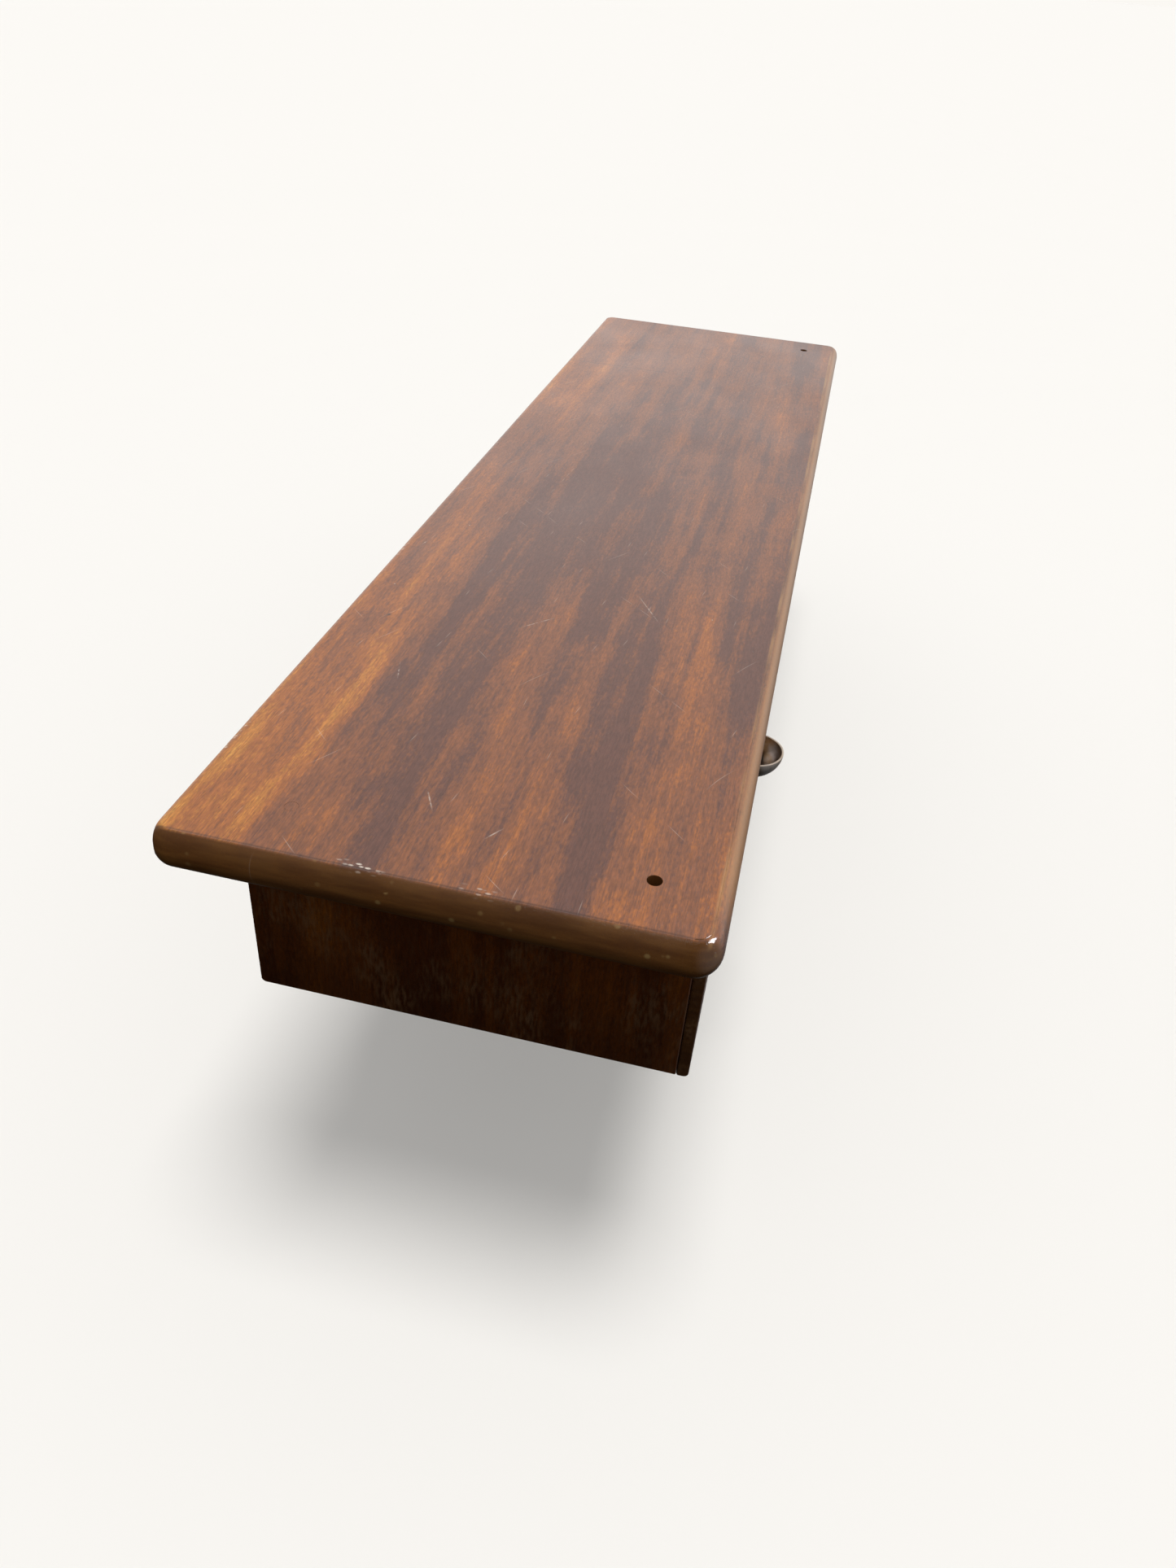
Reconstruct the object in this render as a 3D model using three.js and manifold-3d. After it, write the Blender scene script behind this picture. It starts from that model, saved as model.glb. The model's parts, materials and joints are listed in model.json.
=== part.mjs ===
// A wall-hung console shelf in mahogany: a bullnosed top board on a shallow case, with one drawer in the left
// half, an open compartment in the right half, and a bevelled rail behind it that hooks over a wall batten.
// Millimetres. +X runs along the shelf to the right, -Y is the front, +Z is up. The origin is in the middle
// of the shelf's length and of the top's depth, on the underside of the case.
import * as THREE from "three";
import { mergeVertices } from "three/addons/utils/BufferGeometryUtils.js";
import Module from "manifold-3d";

const wasm = await Module();
wasm.setup();

// ---------- driving dimensions ----------
const TOP_LENGTH = 1000;
const TOP_DEPTH = 266;
const TOP_THICKNESS = 22;
const NOSE = 6.7; // how far the rounded edge falls back above and below its middle
const NOSE_LAND = 0.4; // the narrow flat at the middle of the rounded edge
const FRONT_CORNER = 14; // radius of the top's front corners in plan
const BACK_CORNER = 5; // radius of its back corners, which are nearly square

const CASE_HEIGHT = 94.5;
const END_OVERHANG = 29.5;
const BACK_OVERHANG = 29.5;
const FRONT_OVERHANG = 6; // from the top's front edge back to the drawer's face
const PANEL = 18; // end panels and divider
const BOTTOM = 12; // bottom board
const BACK = 8; // back panel
const REBATE = 9; // width of the end panels' rebate for the back panel
const HOUSING = 6; // how far the bottom board is let into the end panels

const LIP = 6; // thickness of the drawer front's lip, which lies over the case's edges
const LIP_GAP = 0.3; // the lip closes against the edges of the case
const FRONT_PLAY = 1.5; // left above the drawer front, and shared between it and the shelf's middle
const FRONT = 18; // whole thickness of the drawer front
const SIDE = 10; // drawer sides and back
const DRAWER_BOTTOM = 4;
const GROOVE = 5; // depth of the groove that holds the drawer bottom
const PLAY = 1.3; // between a drawer side and the case, each side
const TAIL_SLOPE = 1 / 6; // the sides of the dovetails
const LAP = 4; // wood left in front of the front dovetails, behind the lip

const RAIL = 10; // thickness of the front rail and the kickers
const RAIL_DEPTH = 30;
const RUNNER_HEIGHT = 4;
const RUNNER_WIDTH = 12;
const DRAWER_LENGTH = 212; // from the drawer's face to the outside of its back

const CLEAT_LENGTH = 760;
const CLEAT_HEIGHT = 66; // at the wall side; the lower edge is cut at 45 degrees
const FIT = 0.3; // between pieces that are glued or screwed face to face

const PULL_RADIUS = 19.5;
const PULL_DEPTH = 17.5;
const PULL_WALL = 1.2;
const PULL_DROP = 47; // from the underside of the top down to the pull's rim
const PULL_SCREW_SPREAD = 18;

const TOP_SCREW_FRONT = 37; // from the top's front edge
const TOP_SCREW_BACK = 53; // from the top's back edge
const PLUG_RADIUS = 3.75;
const COUNTERBORE = 14; // depth of the screw holes in the top, above the heads

// ---------- places worked out from them ----------
const topZ = CASE_HEIGHT + TOP_THICKNESS;
const frontEdge = -TOP_DEPTH / 2;
const backEdge = TOP_DEPTH / 2;
const caseEnd = TOP_LENGTH / 2 - END_OVERHANG;
const caseInside = caseEnd - PANEL;
const caseBack = backEdge - BACK_OVERHANG;
const backInside = caseBack - BACK;
const drawerFace = frontEdge + FRONT_OVERHANG;
const caseFront = drawerFace + LIP + LIP_GAP;
const underTop = CASE_HEIGHT - FIT;
const onBottom = BOTTOM + FIT;
const railUnder = CASE_HEIGHT - RAIL;
const runnerTop = BOTTOM + RUNNER_HEIGHT;

const materials = {
  mahogany: new THREE.MeshStandardMaterial({ color: 0x5f3320, roughness: 0.35 }),
  drawerWood: new THREE.MeshStandardMaterial({ color: 0xa9825a, roughness: 0.7 }),
  bronze: new THREE.MeshStandardMaterial({ color: 0x4a3f35, roughness: 0.4, metalness: 1 }),
  steel: new THREE.MeshStandardMaterial({ color: 0x8c8a86, roughness: 0.45, metalness: 1 }),
};

// ---------- tools for making pieces ----------
// A closed geometry as a solid that can be joined and cut.
function solid(geometry) {
  const bare = geometry.clone();
  bare.deleteAttribute("normal");
  bare.deleteAttribute("uv");
  const merged = mergeVertices(bare, 1e-4);
  return new wasm.Manifold(
    new wasm.Mesh({
      numProp: 3,
      vertProperties: new Float32Array(merged.attributes.position.array),
      triVerts: new Uint32Array(merged.index.array),
    }),
  );
}

// body with every geometry in add joined to it, and then every one in cut taken away.
function carve(body, { add = [], cut = [] }) {
  const joined = add.reduce((whole, more) => whole.add(solid(more)), solid(body));
  const result = cut.reduce((whole, less) => whole.subtract(solid(less)), joined).getMesh();
  const geometry = new THREE.BufferGeometry();
  geometry.setAttribute("position", new THREE.BufferAttribute(result.vertProperties, 3));
  geometry.setIndex(new THREE.BufferAttribute(result.triVerts, 1));
  return geometry;
}

// A named mesh whose geometry is kept about its own middle, and placed from there.
function piece(name, geometry, material) {
  geometry.computeBoundingBox();
  const middle = geometry.boundingBox.getCenter(new THREE.Vector3());
  geometry.translate(-middle.x, -middle.y, -middle.z);
  geometry.computeVertexNormals();
  const mesh = new THREE.Mesh(geometry, material);
  mesh.name = name;
  mesh.position.copy(middle);
  return mesh;
}

function block([x0, x1], [y0, y1], [z0, z1]) {
  const box = new THREE.BoxGeometry(x1 - x0, y1 - y0, z1 - z0);
  return box.translate((x0 + x1) / 2, (y0 + y1) / 2, (z0 + z1) / 2);
}

// An outline of [y, z] points, drawn out along X from x0 to x1.
function prism(points, x0, x1) {
  const shape = new THREE.Shape(points.map(([y, z]) => new THREE.Vector2(y, z)));
  const drawn = new THREE.ExtrudeGeometry(shape, { depth: x1 - x0, bevelEnabled: false });
  const turn = new THREE.Matrix4().makeBasis(
    new THREE.Vector3(0, 1, 0),
    new THREE.Vector3(0, 0, 1),
    new THREE.Vector3(1, 0, 0),
  );
  return drawn.applyMatrix4(turn).translate(x0, 0, 0);
}

// Moves a geometry made along its own +Y so that it starts at a point and runs the given way.
function aim(geometry, at, way) {
  const turn = new THREE.Quaternion().setFromUnitVectors(new THREE.Vector3(0, 1, 0), way);
  return geometry.applyQuaternion(turn).translate(at[0], at[1], at[2]);
}

const AWAY = {
  up: new THREE.Vector3(0, 0, 1),
  down: new THREE.Vector3(0, 0, -1),
  forward: new THREE.Vector3(0, -1, 0),
  backward: new THREE.Vector3(0, 1, 0),
};

function rod(radius, length, at, way, sides = 24) {
  const cylinder = new THREE.CylinderGeometry(radius, radius, length, sides);
  return aim(cylinder.translate(0, length / 2, 0), at, way);
}

// ---------- screws ----------
const SCREWS = {
  top: { head: 3.4, headDepth: 2.4, shank: 2.2, length: 32 },
  backPanel: { head: 3, headDepth: 2, shank: 1.4, length: 16 },
  cleat: { head: 4, headDepth: 2.8, shank: 2.3, length: 30 },
  frontRail: { head: 3.5, headDepth: 2.4, shank: 1.8, length: 24 },
  runner: { head: 2.2, headDepth: 1.3, shank: 1, length: 9 },
  button: { head: 3.2, headDepth: 2.2, shank: 1.5, length: 14 },
};

// A countersunk wood screw's outline turned about its axis, from its flat head at 0 to its point; grow makes
// the hole that it sits in.
function screwShape({ head, headDepth, shank, length }, grow = 0) {
  const profile = [
    new THREE.Vector2(0, length + grow),
    new THREE.Vector2(shank + grow, length - 2 * shank + grow),
    new THREE.Vector2(shank + grow, headDepth + grow),
    new THREE.Vector2(head + grow, 0),
    new THREE.Vector2(0, 0),
  ];
  if (grow > 0) {
    profile.splice(4, 1, new THREE.Vector2(head + grow, -grow), new THREE.Vector2(0, -grow));
  }
  return new THREE.LatheGeometry(profile.reverse(), 16);
}

const SLOT_WIDTH = 0.9;

function screw(name, size, at, way) {
  const reach = 2 * size.head + 2;
  const slotDepth = size.headDepth / 2;
  const slot = new THREE.BoxGeometry(reach, slotDepth, SLOT_WIDTH).translate(0, slotDepth / 2 - 0.01, 0);
  const shape = carve(screwShape(size), { cut: [slot] });
  return piece(name, aim(shape, at, way), materials.steel);
}

function screwHole(size, at, way) {
  return aim(screwShape(size, FIT), at, way);
}

// Where each set of screws goes: the point under the middle of the head, and the way it is driven.
const topScrewX = caseEnd - PANEL / 2;
const topScrewZ = topZ - COUNTERBORE;
const topScrews = ["left", "right"].flatMap((end, i) => [
  { name: `top_screw_front_${end}`, at: [(2 * i - 1) * topScrewX, frontEdge + TOP_SCREW_FRONT, topScrewZ] },
  { name: `top_screw_back_${end}`, at: [(2 * i - 1) * topScrewX, backEdge - TOP_SCREW_BACK, topScrewZ] },
]);
const backPanelScrews = ["left", "middle", "right"].flatMap((place, i) =>
  [24, 80].map((z, j) => ({
    name: `back_screw_${place}_${j + 1}`,
    at: [(i - 1) * (caseInside + REBATE / 2), caseBack, z],
  })),
);
const cleatScrews = [-300, -110, 110, 300].map((x) => [x, backInside, 74]);
const frontRailScrews = [-400, -61].map((x) => [x, caseFront + RAIL_DEPTH / 2, railUnder]);

// ---------- the case ----------
// A rectangle with its two front corners and its two back corners rounded, as a shape in plan.
function roundedPlan(x0, x1, y0, y1, front, back) {
  const plan = new THREE.Shape();
  plan.moveTo(x0 + front, y0);
  plan.lineTo(x1 - front, y0);
  plan.absarc(x1 - front, y0 + front, front, -Math.PI / 2, 0);
  plan.lineTo(x1, y1 - back);
  plan.absarc(x1 - back, y1 - back, back, 0, Math.PI / 2);
  plan.lineTo(x0 + back, y1);
  plan.absarc(x0 + back, y1 - back, back, Math.PI / 2, Math.PI);
  plan.lineTo(x0, y0 + front);
  plan.absarc(x0 + front, y0 + front, front, Math.PI, 1.5 * Math.PI);
  return plan;
}

// The top is rounded all round and then cut off square along the back, where it meets the wall.
function topBoard() {
  const half = TOP_LENGTH / 2;
  const spare = 40;
  const inner = roundedPlan(
    NOSE - half,
    half - NOSE,
    frontEdge + NOSE,
    backEdge + spare,
    FRONT_CORNER - NOSE,
    FRONT_CORNER - NOSE,
  );
  const roll = (TOP_THICKNESS - NOSE_LAND) / 2;
  const board = new THREE.ExtrudeGeometry(inner, {
    depth: NOSE_LAND,
    bevelThickness: roll,
    bevelSize: NOSE,
    bevelSegments: 7,
    curveSegments: 6,
  }).translate(0, 0, CASE_HEIGHT + roll);
  const outline = roundedPlan(-half, half, frontEdge, backEdge, 1, BACK_CORNER);
  const keep = new THREE.ExtrudeGeometry(outline, { depth: 2 * TOP_THICKNESS, bevelEnabled: false });
  keep.translate(0, 0, CASE_HEIGHT - TOP_THICKNESS / 2);
  const waste = carve(block([-half - 1, half + 1], [frontEdge - 1, backEdge + 2 * spare], [60, 160]), {
    cut: [keep],
  });
  const counterbores = topScrews.map(({ at }) => rod(PLUG_RADIUS, COUNTERBORE + 1, at, AWAY.up));
  const through = topScrews.map(({ at }) => screwHole(SCREWS.top, at, AWAY.down));
  const railHoles = frontRailScrews.map((at) => screwHole(SCREWS.frontRail, at, AWAY.up));
  const body = carve(board, { cut: [waste, ...counterbores, ...through, ...railHoles] });
  return piece("top_board", body, materials.mahogany);
}

// side is -1 for the left panel and 1 for the right; both are rebated for the back panel and the bottom.
function endPanel(name, side) {
  const inside = side * caseInside;
  const between = (a, b) => [Math.min(a, b), Math.max(a, b)];
  const panel = block(between(inside, side * caseEnd), [caseFront, caseBack], [0, underTop]);
  const backRebate = block(
    between(inside - side, inside + side * REBATE),
    [backInside - FIT, caseBack + 1],
    [-1, CASE_HEIGHT],
  );
  const bottomRebate = block(
    between(inside - side, inside + side * HOUSING),
    [caseFront - 1, caseBack + 1],
    [-1, onBottom],
  );
  const here = ({ at }) => at[0] * side > 0;
  const holes = [
    ...topScrews.filter(here).map(({ at }) => screwHole(SCREWS.top, at, AWAY.down)),
    ...backPanelScrews.filter(here).map(({ at }) => screwHole(SCREWS.backPanel, at, AWAY.forward)),
  ];
  return piece(name, carve(panel, { cut: [backRebate, bottomRebate, ...holes] }), materials.mahogany);
}

function bottomBoard() {
  const half = caseInside + HOUSING - FIT;
  const board = block([-half, half], [caseFront, backInside - FIT], [0, BOTTOM]);
  const holes = runnerScrews.map(({ at }) => screwHole(SCREWS.runner, at, AWAY.down));
  return piece("bottom_board", carve(board, { cut: holes }), materials.mahogany);
}

function divider() {
  const board = block([-PANEL / 2, PANEL / 2], [caseFront, backInside - FIT], [onBottom, underTop]);
  const holes = backPanelScrews
    .filter(({ at }) => at[0] === 0)
    .map(({ at }) => screwHole(SCREWS.backPanel, at, AWAY.forward));
  return piece("centre_divider", carve(board, { cut: holes }), materials.mahogany);
}

function backPanel() {
  const half = caseInside + REBATE - FIT;
  const panel = block([-half, half], [backInside, caseBack], [0, underTop]);
  const holes = [
    ...backPanelScrews.map(({ at }) => screwHole(SCREWS.backPanel, at, AWAY.forward)),
    ...cleatScrews.map((at) => screwHole(SCREWS.cleat, at, AWAY.backward)),
  ];
  return piece("back_panel", carve(panel, { cut: holes }), materials.drawerWood);
}

// The wall batten that this hooks over has the same bevel the other way up, and belongs to the wall.
function hangingRail() {
  const near = caseBack + FIT;
  const low = underTop - CLEAT_HEIGHT;
  const outline = [
    [near, low + (backEdge - near)],
    [backEdge, low],
    [backEdge, underTop],
    [near, underTop],
  ];
  const rail = prism(outline, -CLEAT_LENGTH / 2, CLEAT_LENGTH / 2);
  const holes = cleatScrews.map((at) => screwHole(SCREWS.cleat, at, AWAY.backward));
  return piece("hanging_rail", carve(rail, { cut: holes }), materials.drawerWood);
}

// ---------- what guides the drawer ----------
const bayLeft = -caseInside + FIT;
const bayRight = -PANEL / 2 - FIT;
const runnerFront = drawerFace + FRONT + 1;
const drawerBack = drawerFace + DRAWER_LENGTH;
const RUNNERS = [
  { side: "left", x: [bayLeft, bayLeft + RUNNER_WIDTH] },
  { side: "right", x: [bayRight - RUNNER_WIDTH, bayRight] },
];
const runnerScrews = RUNNERS.flatMap(({ side, x }) =>
  [runnerFront + 20, drawerBack - 20].map((y, i) => ({
    name: `runner_screw_${side}_${i + 1}`,
    at: [(x[0] + x[1]) / 2, y, runnerTop],
  })),
);

function frontRail() {
  const rail = block([bayLeft, bayRight], [caseFront, caseFront + RAIL_DEPTH], [railUnder, underTop]);
  const holes = frontRailScrews.map((at) => screwHole(SCREWS.frontRail, at, AWAY.up));
  return piece("front_rail", carve(rail, { cut: holes }), materials.mahogany);
}

function drawerRunner({ side, x }) {
  const strip = block(x, [runnerFront, drawerBack - FIT], [onBottom, runnerTop]);
  const holes = runnerScrews
    .filter(({ name }) => name.includes(side))
    .map(({ at }) => screwHole(SCREWS.runner, at, AWAY.down));
  return piece(`drawer_runner_${side}`, carve(strip, { cut: holes }), materials.drawerWood);
}

function kicker({ side, x }) {
  const strip = block(x, [caseFront + RAIL_DEPTH + FIT, backInside - FIT], [railUnder, underTop]);
  return piece(`kicker_${side}`, strip, materials.drawerWood);
}

// The stops meet the drawer's back just as its lip closes on the case.
function drawerStop(side, x) {
  const stop = block([x - 20, x + 20], [drawerBack + FIT, backInside - FIT], [onBottom, onBottom + 22]);
  return piece(`drawer_stop_${side}`, stop, materials.drawerWood);
}

// ---------- the drawer ----------
const boxLeft = -caseInside + PLAY;
const boxRight = -PANEL / 2 - PLAY;
const sideLow = runnerTop + FIT;
const sideHigh = railUnder - 2;
const coreLow = BOTTOM + 1.5;
const frontInside = drawerFace + FRONT;
const backFace = drawerBack - SIDE;
const bottomLow = runnerTop + 6;
const bottomHigh = bottomLow + DRAWER_BOTTOM;
const frontLeft = -caseEnd;
const frontRight = -FRONT_PLAY / 2;
const drawerMiddle = (frontLeft + frontRight) / 2;
const lipLow = 0.5;
const lipHigh = CASE_HEIGHT - FRONT_PLAY;
const grooveLeft = boxLeft + SIDE - GROOVE; // the drawer bottom reaches from here
const grooveRight = boxRight - SIDE + GROOVE; // to here
const SIDES = [
  { side: "left", x: [boxLeft, boxLeft + SIDE], groove: [grooveLeft, boxLeft + SIDE + 1] },
  { side: "right", x: [boxRight - SIDE, boxRight], groove: [boxRight - SIDE - 1, grooveRight] },
];
const FRONT_TAILS = [
  [22, 42],
  [54, 74],
];
const BACK_TAILS = [
  [sideLow, 38],
  [50, 68],
];

// One dovetail: narrow at root, wide at tip, between two heights at the tip; grow makes its socket.
function tail(root, tip, [low, high], [x0, x1], grow = 0) {
  const fall = Math.abs(tip - root) * TAIL_SLOPE;
  const way = Math.sign(tip - root);
  const outline = [
    [root - way, low + fall - grow],
    [tip + way * grow, low - grow],
    [tip + way * grow, high + grow],
    [root - way, high - fall + grow],
  ];
  return prism(way > 0 ? outline : outline.reverse(), x0 - grow, x1 + grow);
}

// The groove that the drawer bottom slides in.
function bottomGroove(x, y) {
  return block(x, y, [bottomLow - FIT, bottomHigh + FIT]);
}

function drawerFront() {
  const lip = block([frontLeft, frontRight], [drawerFace, drawerFace + LIP], [lipLow, lipHigh]);
  const core = block([boxLeft, boxRight], [drawerFace + 1, frontInside], [coreLow, sideHigh]);
  const sockets = SIDES.flatMap(({ x }) =>
    FRONT_TAILS.map((heights) => tail(frontInside, drawerFace + LIP + LAP, heights, x, FIT)),
  );
  const groove = bottomGroove([grooveLeft, grooveRight], [frontInside - GROOVE, frontInside + 1]);
  const holes = pullScrewX.map((x) =>
    rod(PULL_SCREW.shank + 0.5, FRONT + 2, [x, frontInside + 1, pullScrewZ], AWAY.forward),
  );
  const body = carve(lip, { add: [core], cut: [...sockets, groove, ...holes] });
  return piece("drawer_front", body, materials.mahogany);
}

function drawerSide({ side, x, groove }) {
  const plank = block(x, [frontInside + FIT, backFace - FIT], [sideLow, sideHigh]);
  const tails = [
    ...FRONT_TAILS.map((heights) => tail(frontInside, drawerFace + LIP + LAP, heights, x)),
    ...BACK_TAILS.map((heights) => tail(backFace, drawerBack, heights, x)),
  ];
  const channel = bottomGroove(groove, [drawerFace, drawerBack + 1]);
  return piece(`drawer_side_${side}`, carve(plank, { add: tails, cut: [channel] }), materials.drawerWood);
}

function drawerBackBoard() {
  const board = block([boxLeft, boxRight], [backFace, drawerBack], [bottomHigh + FIT, sideHigh]);
  const sockets = SIDES.flatMap(({ x }) =>
    BACK_TAILS.map((heights) => tail(backFace, drawerBack + 1, heights, x, FIT)),
  );
  const holes = [
    screwHole(SCREWS.button, buttonScrew, AWAY.backward),
    ...pinX.map((x) => rod(PIN.shank + FIT, PIN.length, [x, pinY, bottomLow], AWAY.up)),
  ];
  return piece("drawer_back", carve(board, { cut: [...sockets, ...holes] }), materials.drawerWood);
}

function drawerBottom() {
  const panel = block(
    [grooveLeft + FIT, grooveRight - FIT],
    [frontInside - GROOVE + FIT, drawerBack],
    [bottomLow, bottomHigh],
  );
  const holes = pinX.map((x) => rod(PIN.shank + FIT, 3 * DRAWER_BOTTOM, [x, pinY, sideLow], AWAY.up));
  return piece("drawer_bottom", carve(panel, { cut: holes }), materials.drawerWood);
}

// ---------- the drawer's fittings ----------
const BUTTON = { width: 12, thickness: 8, low: 57, high: 91.5 };
const buttonY = backFace - FIT - BUTTON.thickness;
const buttonScrew = [(boxLeft + boxRight) / 2, buttonY, 68];

const PIN = { head: 1.7, headDepth: 0.8, shank: 0.8, length: 17 };
const pinX = [-380, drawerMiddle, -90];
const pinY = (backFace + drawerBack) / 2;

const PULL_SCREW = { head: 3.9, headDepth: 2.4, shank: 2, length: 23 };
const WASHER = { outer: 5, thickness: 1 };
const BOSS = { radius: 3.6, length: 5.8 };
const PLATE = 1.5; // the pull's back plate
const pullBack = drawerFace - FIT;
const pullRim = CASE_HEIGHT - PULL_DROP;
const pullScrewX = [-0.5, 0.5].map((half) => drawerMiddle + half * PULL_SCREW_SPREAD);
const pullScrewZ = pullRim - 7.5;

// Turned up, this wooden button meets the back of the front rail and stops the drawer; turned flat, it lets
// the drawer out.
function turnButton() {
  const { width, thickness, low, high } = BUTTON;
  const round = width / 2;
  const outline = new THREE.Shape();
  outline.absarc(0, high - round, round, 0, Math.PI);
  outline.absarc(0, low + round, round, Math.PI, 2 * Math.PI);
  const thick = { depth: thickness, bevelEnabled: false, curveSegments: 8 };
  const drawn = new THREE.ExtrudeGeometry(outline, thick);
  const upright = drawn.rotateX(Math.PI / 2).translate(buttonScrew[0], buttonY + thickness, 0);
  const body = carve(upright, { cut: [screwHole(SCREWS.button, buttonScrew, AWAY.backward)] });
  return piece("turn_button", body, materials.mahogany);
}

// A round-headed screw or pin turned about its axis, with its head behind 0 and its shank ahead.
function roundHeadShape({ head, headDepth, shank, length }) {
  const profile = [
    new THREE.Vector2(0, -headDepth),
    new THREE.Vector2(0.6 * head, -headDepth),
    new THREE.Vector2(head, -0.4 * headDepth),
    new THREE.Vector2(head, 0),
    new THREE.Vector2(shank, 0),
    new THREE.Vector2(shank, length),
    new THREE.Vector2(0, length),
  ];
  return new THREE.LatheGeometry(profile, 16);
}

function pullScrew(x, i) {
  const at = [x, frontInside + WASHER.thickness + 2 * FIT, pullScrewZ];
  const slot = new THREE.BoxGeometry(2 * PULL_SCREW.head + 2, 1, SLOT_WIDTH);
  slot.translate(0, 0.4 - PULL_SCREW.headDepth, 0);
  const body = carve(roundHeadShape(PULL_SCREW), { cut: [slot] });
  return piece(`pull_screw_${i + 1}`, aim(body, at, AWAY.forward), materials.steel);
}

function pullWasher(x, i) {
  const { outer, thickness } = WASHER;
  const hole = PULL_SCREW.shank + FIT;
  const profile = [
    new THREE.Vector2(hole, 0),
    new THREE.Vector2(outer, 0),
    new THREE.Vector2(outer, thickness),
    new THREE.Vector2(hole, thickness),
    new THREE.Vector2(hole, 0),
  ];
  const ring = new THREE.LatheGeometry(profile, 20);
  return piece(
    `pull_washer_${i + 1}`,
    aim(ring, [x, frontInside + FIT, pullScrewZ], AWAY.backward),
    materials.steel,
  );
}

function bottomPin(x, i) {
  const pin = aim(roundHeadShape(PIN), [x, pinY, bottomLow - FIT], AWAY.up);
  return piece(`bottom_pin_${i + 1}`, pin, materials.steel);
}

// Half of a round bowl, open at the top, on a flat back plate with two bosses for the screws.
function cupPull() {
  const arc = (radius, depth) =>
    Array.from({ length: 10 }, (_, i) => {
      const angle = (i / 9) * (Math.PI / 2);
      return new THREE.Vector2(radius * Math.sin(angle), -depth * Math.cos(angle));
    });
  const outer = arc(PULL_RADIUS, PULL_DEPTH);
  const inner = arc(PULL_RADIUS - PULL_WALL, PULL_DEPTH - PULL_WALL).reverse();
  const bowl = new THREE.LatheGeometry([...outer, ...inner], 40);
  bowl.rotateX(Math.PI / 2).translate(drawerMiddle, pullBack, pullRim);
  const behind = block(
    [drawerMiddle - 30, drawerMiddle + 30],
    [pullBack, pullBack + 30],
    [pullRim - 30, pullRim + 30],
  );
  const plateShape = new THREE.Shape();
  const half = PULL_WALL / 2;
  plateShape.absellipse(0, 0, PULL_RADIUS - half, PULL_DEPTH - half, Math.PI, 2 * Math.PI);
  const thick = { depth: PLATE, bevelEnabled: false, curveSegments: 20 };
  const plate = new THREE.ExtrudeGeometry(plateShape, thick);
  plate.rotateX(Math.PI / 2).translate(drawerMiddle, pullBack, pullRim);
  const bosses = pullScrewX.map((x) =>
    rod(BOSS.radius, BOSS.length, [x, pullBack, pullScrewZ], AWAY.forward),
  );
  const holes = pullScrewX.map((x) =>
    rod(PULL_SCREW.shank + FIT, BOSS.length, [x, pullBack + 1, pullScrewZ], AWAY.forward),
  );
  const body = carve(bowl, { add: [plate, ...bosses], cut: [behind, ...holes] });
  return piece("cup_pull", body, materials.bronze);
}

// The back screws of the top are hidden under plugs; the front ones are open.
function topPlug({ name, at }) {
  const plug = rod(PLUG_RADIUS - FIT, COUNTERBORE - FIT, [at[0], at[1], at[2] + FIT], AWAY.up, 20);
  return piece(name.replace("screw", "plug"), plug, materials.mahogany);
}

// ---------- the whole shelf ----------
const carcase = new THREE.Group();
carcase.add(
  topBoard(),
  endPanel("end_panel_left", -1),
  endPanel("end_panel_right", 1),
  bottomBoard(),
  divider(),
  backPanel(),
  hangingRail(),
  frontRail(),
  ...RUNNERS.map(drawerRunner),
  ...RUNNERS.map(kicker),
  drawerStop("left", bayLeft + 50),
  drawerStop("right", bayRight - 50),
  ...topScrews.map(({ name, at }) => screw(name, SCREWS.top, at, AWAY.down)),
  ...topScrews.filter(({ name }) => name.includes("back")).map(topPlug),
  ...backPanelScrews.map(({ name, at }) => screw(name, SCREWS.backPanel, at, AWAY.forward)),
  ...cleatScrews.map((at, i) => screw(`hanging_rail_screw_${i + 1}`, SCREWS.cleat, at, AWAY.backward)),
  ...frontRailScrews.map((at, i) => screw(`front_rail_screw_${i + 1}`, SCREWS.frontRail, at, AWAY.up)),
  ...runnerScrews.map(({ name, at }) => screw(name, SCREWS.runner, at, AWAY.down)),
);

const drawer = new THREE.Group();
drawer.add(
  drawerFront(),
  ...SIDES.map(drawerSide),
  drawerBackBoard(),
  drawerBottom(),
  turnButton(),
  screw("turn_button_screw", SCREWS.button, buttonScrew, AWAY.backward),
  ...pinX.map(bottomPin),
  cupPull(),
  ...pullScrewX.map(pullScrew),
  ...pullScrewX.map(pullWasher),
);

const shelf = new THREE.Group();
shelf.add(carcase, drawer);

export default shelf;
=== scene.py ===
# %% [markdown]
# A wall-hung shelf with one drawer, in old varnished mahogany.
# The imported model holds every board, screw and joint at its true size. This lesson gives it its looks: the
# planed and softened boards, the rounded edge of the top, the cup pull, and the finishes. It starts by
# loading that model, which stays where it is, and every place below is read from it.

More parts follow.
